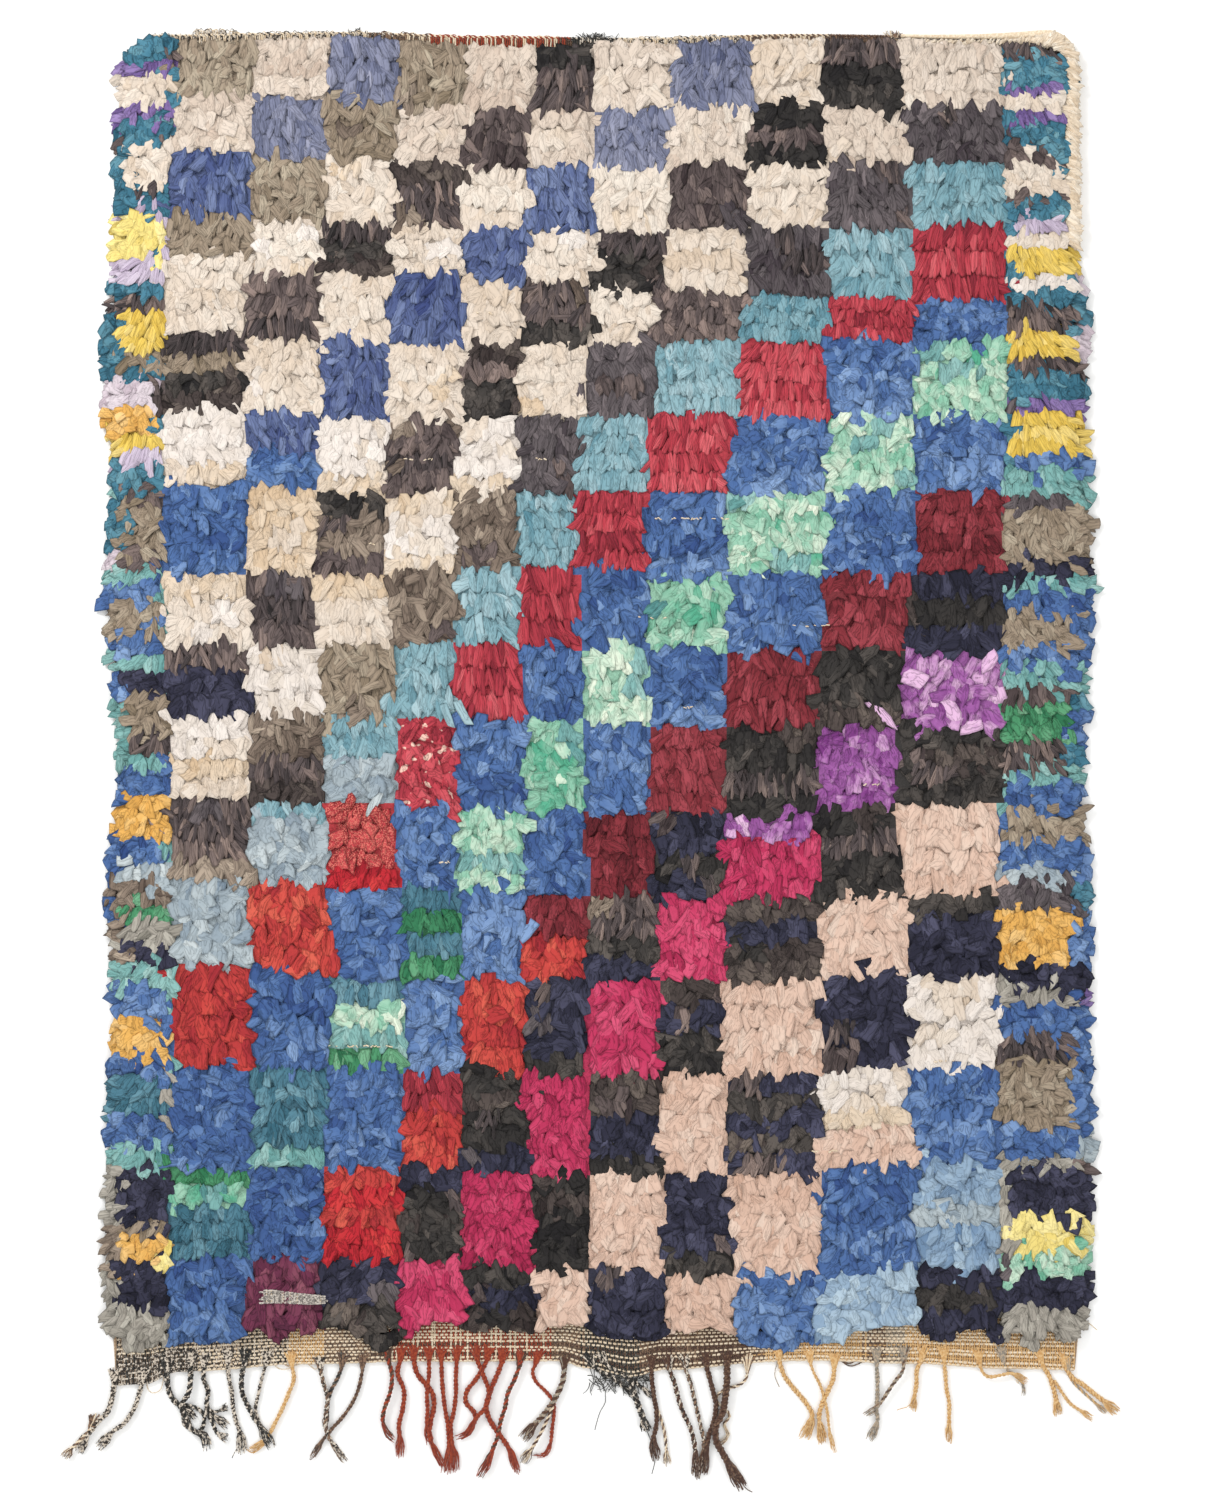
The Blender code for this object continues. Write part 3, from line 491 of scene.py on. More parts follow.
# The fringe: each bunch of warp ends with its two plied yarns, how thick it is and how wide its tuft
# opens, in millimetres, and the places that it passes on the floor, in millimetres from the rug's middle.
TUFT_FROM = 0.74
PLY_PITCH = 0.013
Strand = namedtuple("Strand", "first second girth tuft route")
STRANDS = (
    Strand("melange", "melange", 8.0, 15, (
        (-758, -1057), (-761, -1084), (-769, -1109), (-783, -1123), (-795, -1138), (-806, -1154),
        (-816, -1174),
    )),
    Strand("tan", "ecru", 5.0, 13, (
        (-788, -1129), (-800, -1141), (-812, -1154), (-825, -1166), (-836, -1182),
    )),
    Strand("melange", "melange", 7.0, 13, (
        (-712, -1057), (-719, -1079), (-725, -1098), (-734, -1115), (-745, -1129), (-761, -1140),
        (-786, -1168),
    )),
    Strand("melange", "black", 8.0, 10, (
        (-675, -1041), (-675, -1066), (-669, -1085), (-658, -1098), (-645, -1105), (-631, -1120),
    )),
    Strand("melange", "black", 8.0, 12, (
        (-639, -1032), (-639, -1060), (-642, -1079), (-652, -1096), (-650, -1112), (-639, -1134),
        (-617, -1148), (-614, -1170),
    )),
    Strand("melange", "black", 7.0, 13, (
        (-617, -1032), (-619, -1057), (-612, -1076), (-614, -1098), (-606, -1113), (-592, -1124),
        (-580, -1134),
    )),
    Strand("melange", "black", 6.0, 12, (
        (-652, -1098), (-633, -1102), (-619, -1113), (-620, -1132), (-631, -1141), (-644, -1129),
        (-647, -1112),
    )),
    Strand("melange", "black", 6.0, 12, ((-617, -1107), (-605, -1124), (-598, -1141), (-580, -1151))),
    Strand("melange", "black", 5.0, 10, ((-617, -1104), (-600, -1109), (-581, -1101))),
    Strand("melange", "melange", 6.5, 14, (
        (-581, -1026), (-580, -1052), (-575, -1079), (-573, -1101), (-569, -1121), (-561, -1146),
        (-559, -1177),
    )),
    Strand("black", "melange", 7.5, 15, (
        (-553, -1026), (-559, -1054), (-558, -1079), (-548, -1102), (-536, -1123), (-523, -1141),
        (-512, -1166),
    )),
    Strand("melange", "melange", 5.0, 8, (
        (-519, -1026), (-528, -1057), (-534, -1084), (-538, -1105), (-531, -1129), (-525, -1154),
    )),
    Strand("ochre", "ochre", 6.0, 10, (
        (-483, -1029), (-478, -1057), (-486, -1080), (-495, -1102), (-506, -1124), (-519, -1148),
        (-534, -1163), (-548, -1170),
    )),
    Strand("melange", "tan", 6.5, 9, (
        (-438, -1037), (-431, -1065), (-425, -1087), (-428, -1113), (-427, -1138), (-416, -1160),
        (-397, -1187),
    )),
    Strand("tan", "black", 6.0, 7, (
        (-400, -1030), (-409, -1055), (-420, -1076), (-425, -1095), (-427, -1116), (-431, -1135),
    )),
    Strand("tan", "brown", 5.5, 8, (
        (-369, -1032), (-375, -1065), (-384, -1090), (-400, -1115), (-417, -1134), (-434, -1155),
        (-453, -1187),
    )),
    Strand("brown", "rust", 6.5, 9, (
        (-333, -1021), (-325, -1048), (-327, -1076), (-336, -1102), (-339, -1123), (-331, -1143),
        (-319, -1154),
    )),
    Strand("rust", "rust", 7.0, 11, (
        (-309, -1021), (-316, -1048), (-306, -1076), (-308, -1104), (-314, -1130), (-312, -1154),
        (-314, -1182),
    )),
    Strand("rust", "rust", 7.5, 10, (
        (-292, -1021), (-286, -1048), (-273, -1065), (-262, -1079), (-259, -1099), (-264, -1123),
        (-266, -1148), (-255, -1174), (-244, -1196),
    )),
    Strand("rust", "rust", 6.5, 12, (
        (-267, -1021), (-267, -1052), (-270, -1079), (-269, -1107), (-270, -1130), (-264, -1162),
    )),
    Strand("rust", "rust", 6.5, 12, (
        (-248, -1021), (-247, -1052), (-245, -1079), (-242, -1104), (-238, -1127), (-236, -1154),
        (-236, -1180), (-241, -1207),
    )),
    Strand("rust", "rust", 6.5, 12, (
        (-223, -1021), (-225, -1052), (-225, -1079), (-228, -1107), (-233, -1130), (-231, -1157),
        (-227, -1182), (-228, -1204),
    )),
    Strand("rust", "rust", 7.0, 7, (
        (-195, -1020), (-186, -1041), (-181, -1054), (-175, -1070), (-173, -1085), (-180, -1104),
        (-192, -1116), (-203, -1135), (-212, -1148),
    )),
    Strand("rust", "rust", 7.0, 8, (
        (-172, -1020), (-183, -1041), (-195, -1060), (-208, -1077), (-209, -1095), (-197, -1109),
        (-195, -1123), (-206, -1141), (-225, -1151),
    )),
    Strand("rust", "rust", 7.5, 11, (
        (-150, -1024), (-161, -1052), (-170, -1073), (-177, -1095), (-175, -1115), (-164, -1135),
        (-150, -1154), (-139, -1173), (-128, -1210),
    )),
    Strand("rust", "brown", 6.5, 12, (
        (-123, -1029), (-133, -1057), (-144, -1080), (-148, -1101), (-155, -1123), (-159, -1145),
        (-167, -1166), (-175, -1187), (-189, -1212),
    )),
    Strand("rust", "rust", 5.5, 7, (
        (-95, -1026), (-105, -1045), (-100, -1062), (-86, -1076), (-73, -1093), (-72, -1112),
        (-75, -1138), (-78, -1162), (-88, -1177), (-106, -1177),
    )),
    Strand("brown", "grey", 8.0, 15, (
        (-55, -1035), (-58, -1060), (-66, -1080), (-75, -1096), (-88, -1113), (-105, -1132),
        (-123, -1155),
    )),
    Strand("brown", "ecru", 5.0, 13, (
        (-72, -1095), (-81, -1118), (-92, -1141), (-106, -1165), (-123, -1190),
    )),
    Strand("black", "melange", 7.0, 8, ((-19, -1032), (0, -1045), (19, -1055), (38, -1070), (53, -1085))),
    Strand("melange", "black", 6.0, 8, ((0, -1029), (22, -1043), (44, -1055), (64, -1070), (83, -1088))),
    Strand("black", "melange", 9.0, 13, ((47, -1057), (53, -1079), (59, -1096), (67, -1118), (73, -1140))),
    Strand("brown", "brown", 7.0, 13, (
        (80, -1032), (81, -1060), (84, -1084), (88, -1107), (88, -1130), (83, -1155), (89, -1188),
    )),
    Strand("tan", "ecru", 4.5, 10, ((89, -1104), (97, -1126), (102, -1151), (105, -1195))),
    Strand("brown", "melange", 7.0, 12, (
        (105, -1035), (116, -1063), (122, -1087), (130, -1110), (141, -1134), (147, -1157),
        (150, -1187), (150, -1218),
    )),
    Strand("melange", "tan", 6.0, 12, (
        (130, -1035), (141, -1063), (147, -1088), (152, -1110), (158, -1135), (162, -1160),
        (158, -1210),
    )),
    Strand("brown", "brown", 7.5, 13, (
        (164, -1030), (172, -1060), (177, -1079), (181, -1099), (178, -1123), (170, -1145),
        (166, -1168), (161, -1207),
    )),
    Strand("brown", "brown", 10.0, 16, (
        (198, -1029), (198, -1060), (195, -1088), (191, -1110), (181, -1130), (181, -1152),
        (192, -1174), (206, -1198), (223, -1230),
    )),
    Strand("ecru", "tan", 4.5, 6, (
        (231, -1035), (228, -1057), (216, -1068), (198, -1073), (183, -1084), (183, -1095),
        (195, -1104), (202, -1116), (194, -1129), (200, -1143), (194, -1155), (177, -1163),
    )),
    Strand("ochre", "ochre", 7.0, 14, (
        (277, -1020), (286, -1049), (297, -1066), (309, -1080), (322, -1096), (331, -1113),
        (327, -1132), (316, -1154),
    )),
    Strand("ochre", "ochre", 4.5, 6, (
        (325, -1024), (334, -1048), (344, -1068), (350, -1088), (355, -1110), (358, -1138),
        (366, -1173),
    )),
    Strand("ochre", "ochre", 7.0, 13, (
        (366, -1032), (364, -1057), (356, -1076), (347, -1096), (342, -1116), (345, -1138),
        (348, -1160),
    )),
    Strand("grey", "grey", 6.0, 12, (
        (431, -1023), (433, -1057), (433, -1084), (431, -1104), (433, -1124), (420, -1157),
    )),
    Strand("grey", "tan", 5.5, 8, (
        (475, -1021), (472, -1045), (461, -1060), (450, -1076), (439, -1093), (427, -1105),
        (412, -1115),
    )),
    Strand("ochre", "ochre", 6.5, 10, (
        (506, -1021), (495, -1043), (494, -1065), (491, -1084), (488, -1109),
    )),
    Strand("ochre", "ochre", 6.0, 9, (
        (536, -1021), (539, -1049), (541, -1073), (545, -1095), (545, -1123), (544, -1159),
    )),
    Strand("ochre", "ochre", 5.0, 11, (
        (589, -1026), (598, -1048), (609, -1054), (627, -1051), (644, -1049), (667, -1062),
    )),
    Strand("grey", "grey", 4.0, 5, ((625, -1021), (636, -1043), (653, -1057), (661, -1068), (662, -1085))),
    Strand("ochre", "ochre", 7.0, 13, (
        (684, -1026), (700, -1051), (708, -1073), (712, -1091), (716, -1116),
    )),
    Strand("ochre", "ochre", 5.0, 9, (
        (709, -1060), (722, -1080), (734, -1096), (750, -1107), (770, -1121),
    )),
    Strand("ochre", "ochre", 7.0, 15, (
        (722, -1032), (736, -1054), (756, -1068), (773, -1082), (791, -1096), (809, -1112),
    )),
    Strand("grey", "ochre", 4.0, 6, ((727, -1035), (736, -1059), (753, -1077), (773, -1095), (792, -1113))),
)

# How far the warps spread from a strand's root into the woven band.
FAN_RISE = 0.017
FAN_WIDTH = 0.0095

# Thin yarn ends and loops at the hem: yarn, radius in millimetres and places in millimetres.
LooseEnd = namedtuple("LooseEnd", "yarn radius route")
LOOSE_ENDS = (
    LooseEnd("ecru", 0.7, ((-709, -1054), (-706, -1074), (-697, -1080), (-686, -1074), (-681, -1055))),
    LooseEnd("ecru", 0.7, (
        (-512, -1026), (-505, -1040), (-491, -1043), (-475, -1037), (-459, -1034), (-444, -1043),
        (-433, -1032),
    )),
    LooseEnd("ochre", 0.7, ((-500, -1026), (-488, -1038), (-469, -1032), (-450, -1035), (-434, -1026))),
    LooseEnd("black", 0.6, ((19, -1063), (9, -1077), (8, -1095), (0, -1110), (-5, -1126), (-8, -1138))),
    LooseEnd("black", 0.6, ((72, -1135), (78, -1151), (84, -1166), (86, -1185), (81, -1207))),
    LooseEnd("ochre", 0.6, ((489, -1091), (481, -1101), (469, -1105), (464, -1107))),
    LooseEnd("grey", 0.6, ((277, -1032), (273, -1052), (280, -1071))),
    LooseEnd("grey", 0.8, ((625, -1023), (628, -1035), (638, -1045))),
    LooseEnd("ecru", 0.7, ((734, -966), (750, -963), (762, -970), (777, -982))),
    LooseEnd("melange", 0.6, ((-558, -1154), (-569, -1170), (-575, -1182))),
    LooseEnd("ochre", 0.8, ((-528, -1159), (-541, -1173), (-553, -1168))),
    LooseEnd("brown", 0.7, ((216, -1213), (228, -1229), (238, -1235))),
    LooseEnd("tan", 1.0, ((375, -1029), (391, -1038), (409, -1032), (422, -1023))),
    LooseEnd("tan", 1.0, ((372, -1024), (388, -1034), (403, -1027), (416, -1016))),
    LooseEnd("ecru", 0.8, ((656, -1057), (653, -1065), (650, -1060))),
)
NET_LOOPS = 90
NET_X = (-0.020, 0.072)
NET_Y = (-1.064, -1.040)

# Places where the pile is worn and a weft shows, and the darn in the plum check: places in millimetres.
BareWeft = namedtuple("BareWeft", "x y length")
BARE_WEFTS = (
    BareWeft(86, 284, 110),
    BareWeft(-422, -537, 110),
    BareWeft(-305, 376, 50),
    BareWeft(-100, 377, 24),
    BareWeft(-192, 604, 30),
    BareWeft(-360, 245, 14),
    BareWeft(60, 130, 40),
    BareWeft(130, -10, 26),
    BareWeft(300, 118, 60),
    BareWeft(410, -130, 30),
    BareWeft(-250, -250, 26),
    BareWeft(-600, 160, 36),
    BareWeft(-560, 50, 20),
    BareWeft(330, -700, 40),
    BareWeft(520, -560, 30),
)
DARN_LEFT, DARN_RIGHT = -0.530, -0.424
DARN_LOW, DARN_HIGH = -0.938, -0.918

# Yarns: two colours that are plied or flecked together, in sRGB, and how sharply the second one shows.
Yarn = namedtuple("Yarn", "main second fleck")
YARNS = {
    "melange": Yarn((54, 48, 45), (216, 204, 188), 0.50),
    "ochre": Yarn((206, 162, 106), (224, 188, 136), 0.50),
    "tan": Yarn((142, 114, 92), (92, 74, 64), 0.50),
    "rust": Yarn((162, 74, 48), (138, 56, 40), 0.50),
    "brown": Yarn((84, 60, 50), (126, 100, 80), 0.58),
    "grey": Yarn((182, 164, 142), (146, 138, 126), 0.50),
    "black": Yarn((44, 43, 41), (104, 102, 96), 0.58),
    "ecru": Yarn((220, 198, 168), (236, 220, 194), 0.50),
    "darn": Yarn((138, 132, 126), (206, 198, 188), 0.50),
}

# The woven band: how far the weave is built up from the hem, its spacings, and the warps' colours by
# the place across at which each run starts.
BAND_TOP = -0.957
BAND_ROWS = 15
TWINED_ROWS = (2, 5)
BandWeft = namedtuple("BandWeft", "start end twined_with fullness")
BAND_WEFTS = (
    BandWeft(-0.80, -0.63, None, 1.0),
    BandWeft(-0.63, -0.36, None, 1.0),
    BandWeft(-0.359, 0.235, "brown", 1.0),
    BandWeft(0.235, 0.80, "ochre", 1.18),
)
WARP_PITCH = 0.0037
WEFT_PITCH = 0.0054
WARP_RADIUS = 0.0012
WEFT_RADIUS = 0.0018
TWINED_RADIUS = 0.0011
WEAVE_LIFT = 0.0011
WarpRun = namedtuple("WarpRun", "start yarn")
WARP_RUNS = (
    WarpRun(-0.80, "melange"),
    WarpRun(-0.488, "ochre"),
    WarpRun(-0.425, "tan"),
    WarpRun(-0.335, "rust"),
    WarpRun(-0.075, "tan"),
    WarpRun(-0.030, "black"),
    WarpRun(0.062, "tan"),
    WarpRun(0.085, "brown"),
    WarpRun(0.118, "tan"),
    WarpRun(0.150, "brown"),
    WarpRun(0.235, "tan"),
    WarpRun(0.258, "ochre"),
    WarpRun(0.415, "tan"),
    WarpRun(0.445, "grey"),
    WarpRun(0.480, "ochre"),
)

# The heading cord's runs: the two yarns that are twined, by the place across at which each starts.
HeadingRun = namedtuple("HeadingRun", "start first second")
HEADING_RUNS = (
    HeadingRun(-0.705, "melange", "ecru"),
    HeadingRun(-0.360, "melange", "tan"),
    HeadingRun(-0.320, "tan", "ecru"),
    HeadingRun(-0.265, "rust", "ecru"),
    HeadingRun(-0.065, "rust", "brown"),
    HeadingRun(-0.045, "black", "melange"),
    HeadingRun(0.030, "melange", "ecru"),
    HeadingRun(0.219, "tan", "ecru"),
    HeadingRun(0.360, "tan", "brown"),
)

# How far the pile stops short of the far edge, loops that stand out from it and its tufts of yarn ends.
HEADING_BARE = (
    Sag(-0.74, 0.001), Sag(-0.68, 0.003), Sag(-0.62, 0.009), Sag(-0.50, 0.008), Sag(-0.40, 0.005),
    Sag(-0.30, 0.007), Sag(-0.22, 0.010), Sag(-0.14, 0.015), Sag(-0.05, 0.013), Sag(-0.01, 0.004),
    Sag(0.06, 0.004), Sag(0.12, 0.008), Sag(0.20, 0.004), Sag(0.40, 0.003), Sag(0.46, 0.001),
    Sag(0.60, 0.006), Sag(0.70, 0.009),
)
HeadingLoops = namedtuple("HeadingLoops", "start end height count yarn")
HEADING_LOOPS = (
    HeadingLoops(-0.632, -0.570, 0.010, 34, "melange"),
    HeadingLoops(-0.570, -0.36, 0.005, 46, "melange"),
    HeadingLoops(-0.340, -0.265, 0.005, 18, "tan"),
    HeadingLoops(-0.265, -0.065, 0.004, 40, "rust"),
    HeadingLoops(0.03, 0.20, 0.005, 26, "melange"),
)
HeadingTuft = namedtuple("HeadingTuft", "across scatter count length yarn")
HEADING_TUFTS = (
    HeadingTuft(0.660, 0.005, 26, 0.013, "black"),
    HeadingTuft(0.458, 0.005, 22, 0.013, "tan"),
    HeadingTuft(0.455, 0.005, 10, 0.013, "ecru"),
    HeadingTuft(-0.38, 0.005, 8, 0.013, "black"),
    HeadingTuft(-0.010, 0.013, 46, 0.014, "black"),
)
FRAYED_LEFT, FRAYED_RIGHT, FRAYED_ENDS = -0.70, -0.62, 34
HEADING_END = 0.455
HEADING_RADIUS = 0.0028
TWINE_PITCH = 0.0085

# The rag-wrapped corner.
WRAP_FROM = 0.470
WRAP_LENGTH_DOWN = 0.325
WRAP_RADIUS_THIN = 0.004
WRAP_RADIUS = 0.0095
WRAP_STEP = 0.0046
WRAP_SINK = 0.006

# Camera and light.
PIXEL_SIZE = 0.0015625
CAMERA_CENTRE = (0.0164, -0.0758)
LENS_MM = 85.0
SENSOR_MM = 36.0
VIEW_HEIGHT = 1500 * PIXEL_SIZE
Light = namedtuple("Light", "name location size power")
LIGHTS = (
    Light("key", (-3.4, 3.6, 3.6), 1.8, 210),
    Light("fill", (3.0, -2.2, 4.6), 3.5, 60),
)
SKY_STRENGTH = 0.95
FLOOR_COLOUR = (0.94, 0.94, 0.93, 1.0)


def linear(srgb):
    """A colour given as 0 to 255 in sRGB, as Blender's linear values."""
    parts = [value / 255 for value in srgb]
    return tuple(p / 12.92 if p <= 0.04045 else ((p + 0.055) / 1.055) ** 2.4 for p in parts)


def eased(rows, at, column):
    """A column of a table read between its rows, eased so that the curve through them is smooth."""
    if at <= rows[0][0]:
        return getattr(rows[0], column)
    for low, high in zip(rows, rows[1:]):
        if at <= high[0]:
            share = (at - low[0]) / (high[0] - low[0])
            share = share * share * (3 - 2 * share)
            return getattr(low, column) + share * (getattr(high, column) - getattr(low, column))
    return getattr(rows[-1], column)


def left_edge(y):
    return -HALF_WIDTH - eased(SIDES, TOP_Y - y, "left_out")


def right_edge(y):
    return HALF_WIDTH + eased(SIDES, TOP_Y - y, "right_out")


def heading_edge(x):
    return TOP_Y - eased(HEADING_SAGS, x, "drop")


def hem_edge(x):
    return -TOP_Y - eased(HEM_SAGS, x, "drop")


def spread(start, end, step):
    """Evenly spaced values from start to end, about one step apart."""
    count = max(1, round(abs(end - start) / step))
    return [start + (end - start) * i / count for i in range(count + 1)]


# Materials


def new_material(name):
    material = bpy.data.materials.new(name)
    material.use_nodes = True
    return material, material.node_tree, material.node_tree.nodes["Principled BSDF"]


def add_node(tree, kind, **values):
    node = tree.nodes.new(kind)
    for key, value in values.items():
        setattr(node, key, value)
    return node


def put(tree, socket, value):
    """Gives a node's input a number, a colour or the output of another node."""
    if isinstance(value, bpy.types.NodeSocket):
        tree.links.new(value, socket)
    elif isinstance(value, tuple):
        socket.default_value = (*value, 1.0)
    else:
        socket.default_value = value


def put_all(tree, node, values):
    for name, value in values.items():
        put(tree, node.inputs[name], value)


def calculate(tree, operation, *values, clamped=False):
    """The result of a sum on numbers and outputs of other nodes."""
    node = add_node(tree, "ShaderNodeMath", operation=operation, use_clamp=clamped)
    for socket, value in zip(node.inputs, values):
        put(tree, socket, value)
    return node.outputs[0]


def mix_colours(tree, share, first, second, blend="MIX"):
    """A colour mix whose two colours are constants or outputs of other nodes."""
    mix = add_node(tree, "ShaderNodeMix", data_type="RGBA", blend_type=blend)
    put(tree, mix.inputs["Factor"], share)
    put(tree, mix.inputs[6], first)
    put(tree, mix.inputs[7], second)
    return mix.outputs[2]


def noise(tree, vector, scale, detail=2.0, roughness=0.5):
    node = add_node(tree, "ShaderNodeTexNoise")
    put_all(tree, node, {"Scale": scale, "Detail": detail, "Roughness": roughness, "Vector": vector})
    return node.outputs["Fac"]


def ramp(tree, value, stops):
    """A value re-mapped through (place, grey) stops."""
    node = add_node(tree, "ShaderNodeValToRGB")
    elements = node.color_ramp.elements
    for element, (place, grey) in zip(elements, stops):
        element.position = place
        element.color = (grey, grey, grey, 1.0)
    tree.links.new(value, node.inputs["Fac"])
    return node.outputs["Color"]


def colour_ramp(tree, value, colours):
    """A value from 0 to 1 turned into colours that blend evenly from the first to the last."""
    node = add_node(tree, "ShaderNodeValToRGB")
    elements = node.color_ramp.elements
    while len(elements) < len(colours):
        elements.new(0.5)
    for k, colour in enumerate(colours):
        elements[k].position = k / (len(colours) - 1)
        elements[k].color = (*linear(colour), 1.0)
    tree.links.new(value, node.inputs["Fac"])
    return node.outputs["Color"]


def crease_lines(tree, vector, scale, width):
    """Thin branching lines, 0 in the line and 1 beside it, where a noise passes its middle."""
    offset = calculate(tree, "SUBTRACT", noise(tree, vector, scale, 2.0, 0.55), 0.5)
    return calculate(tree, "DIVIDE", calculate(tree, "ABSOLUTE", offset), width, clamped=True)


def bump(tree, height, distance, strength, previous=None):
    node = add_node(tree, "ShaderNodeBump")
    put_all(tree, node, {"Strength": strength, "Distance": distance, "Height": height})
    if previous is not None:
        put(tree, node.inputs["Normal"], previous)
    return node.outputs["Normal"]


def edge_shade(tree, value, start, grey):
    """Painted shade at a rag's rim: 1 over the rag's middle and that grey at its rim, from how far across or
    along the rag a place is.
    """
    return ramp(tree, calculate(tree, "ABSOLUTE", value), ((start, 1.0), (0.5, grey)))


def lightness_of(dye):
    """How light a dye looks, from 0 to 1."""
    return (sum(dye.main) / 765) ** 2


def rag_material(name, dye):
    """Torn cloth: each rag has its own tone, is gathered into fine folds and is darkest at its rim: painted
    shade along its crease lines and at its rim, where it meets the rags beside and below it.
    """
    material, tree, shader = new_material(name)
    place = add_node(tree, "ShaderNodeTexCoord").outputs["Object"]
    tone = add_node(tree, "ShaderNodeAttribute", attribute_name="tone").outputs["Fac"]
    cloth = add_node(tree, "ShaderNodeAttribute", attribute_name="cloth").outputs["Vector"]
    stain = calculate(tree, "MULTIPLY_ADD", noise(tree, place, 60.0, 3.0), dye.patches, -dye.patches / 2)
    mottled = calculate(tree, "ADD", tone, stain, clamped=True)
    body = colour_ramp(tree, mottled, (dye.deep, dye.main, dye.pale))
    if dye.print:
        figure = noise(tree, place, dye.print.fineness, 1.0)
        share = ramp(tree, figure, ((dye.print.plain, 0.0), (dye.print.plain + 0.03, 1.0)))
        body = mix_colours(tree, share, body, linear(dye.print.colour))
    gathered = add_node(tree, "ShaderNodeMapping")
    gathered.inputs["Scale"].default_value = FOLD_SCALES[TIES[dye.tie].kind]
    tree.links.new(cloth, gathered.inputs["Vector"])
    lightness = lightness_of(dye)
    creases = crease_lines(tree, gathered.outputs["Vector"], 1.0, 0.050)
    # Painted shade along the crease lines, weaker on light dyes.
    painted_crease_shade = ramp(tree, creases, ((0.0, 0.30 + 0.85 * lightness), (1.0, 1.0)))
    split = add_node(tree, "ShaderNodeSeparateXYZ")
    tree.links.new(cloth, split.inputs["Vector"])
    # Painted shade at the rag's sides and ends: thin shadow lines where it meets the rags beside it and the
    # course below.
    sides = edge_shade(tree, split.outputs["X"], 0.37, 0.25 + 0.85 * lightness)
    ends = edge_shade(tree, split.outputs["Y"], 0.43, 0.35 + 0.70 * lightness)
    rim = mix_colours(tree, 1.0, sides, ends, "MULTIPLY")
    # The cloth's colour with the painted crease shade.
    folded = mix_colours(tree, 0.75, body, painted_crease_shade, "MULTIPLY")
    # The cloth's colour times the painted shade at its rim.
    tree.links.new(mix_colours(tree, 0.85, folded, rim, "MULTIPLY"), shader.inputs["Base Color"])
    put_all(tree, shader, {
        "Roughness": 0.75,
        "Specular IOR Level": 0.14,
        "Sheen Weight": 0.04,
        "Sheen Roughness": 0.5,
    })
    relief = noise(tree, gathered.outputs["Vector"], 1.0, 2.0, 0.55)
    folds = bump(tree, relief, 0.006, 0.95 - 0.70 * lightness)
    edges = bump(tree, creases, 0.0010, 0.6, folds)
    weave = bump(tree, noise(tree, place, 1900.0, 1.0), 0.0004, 0.3, edges)
    tree.links.new(weave, shader.inputs["Normal"])
    return material


def mat_material():
    """What shows between the rags: the same cloth in its own hue, as an attribute of the mat's faces, with
    painted shade in the dips of its lumps.
    """
    material, tree, shader = new_material("rag_roots")
    # The attribute holds each check's dye with painted shade between the rags.
    dye_with_gap_shade = add_node(tree, "ShaderNodeAttribute", attribute_name="dye").outputs["Color"]
    place = add_node(tree, "ShaderNodeTexCoord").outputs["Object"]
    # Painted shade: the mat darkens where the same noise lowers its bump, in the dips of its lumps.
    shade = ramp(tree, noise(tree, place, 240.0, 3.0, 0.6), ((0.30, 0.55), (0.60, 1.0)))
    tree.links.new(mix_colours(tree, 0.7, dye_with_gap_shade, shade, "MULTIPLY"), shader.inputs["Base Color"])
    shader.inputs["Roughness"].default_value = 0.95
    tree.links.new(bump(tree, noise(tree, place, 240.0, 3.0, 0.6), 0.003, 0.8), shader.inputs["Normal"])
    return material


def yarn_material(name, yarn):
    """Handspun yarn: two wools carded together in flecks, with a fibrous surface."""
    material, tree, shader = new_material(name)
    place = add_node(tree, "ShaderNodeTexCoord").outputs["Object"]
    edge = yarn.fleck
    flecks = ramp(tree, noise(tree, place, 260.0, 2.0, 0.5), ((edge - 0.03, 0.0), (edge + 0.03, 1.0)))
    body = mix_colours(tree, flecks, linear(yarn.main), linear(yarn.second))
    fibres = ramp(tree, noise(tree, place, 1500.0, 2.0, 0.7), ((0.30, 0.60), (0.62, 1.0)))
    tree.links.new(mix_colours(tree, 0.6, body, fibres, "MULTIPLY"), shader.inputs["Base Color"])
    put_all(tree, shader, {"Roughness": 0.95, "Specular IOR Level": 0.12, "Sheen Weight": 0.15})
    tree.links.new(bump(tree, noise(tree, place, 1300.0, 2.0, 0.7), 0.0006, 0.7), shader.inputs["Normal"])
    return material


def ground_material():
    """The weft-faced ground cloth: cream rows of weft with the warps' shade between them."""
    material, tree, shader = new_material("woven_ground")
    place = add_node(tree, "ShaderNodeTexCoord").outputs["Object"]
    split = add_node(tree, "ShaderNodeSeparateXYZ")
    tree.links.new(place, split.inputs["Vector"])
    rows = wave_of(tree, split.outputs["Y"], WEFT_PITCH)
    warps = wave_of(tree, split.outputs["X"], WARP_PITCH)
    weave = calculate(tree, "MULTIPLY", rows, warps)
    cream = mix_colours(tree, noise(tree, place, 30.0), linear((214, 192, 160)), linear((178, 148, 118)))
    body = mix_colours(tree, weave, linear((156, 130, 104)), cream)
    tree.links.new(body, shader.inputs["Base Color"])
    shader.inputs["Roughness"].default_value = 0.95
    tree.links.new(bump(tree, weave, 0.0012, 0.8), shader.inputs["Normal"])
    return material


def wave_of(tree, value, pitch):
    """A wave from 0 to 1 that repeats at that pitch along one coordinate."""
    turned = calculate(tree, "MULTIPLY", value, 2 * math.pi / pitch)
    return calculate(tree, "MULTIPLY_ADD", calculate(tree, "SINE", turned), 0.5, 0.5)


# Pieces


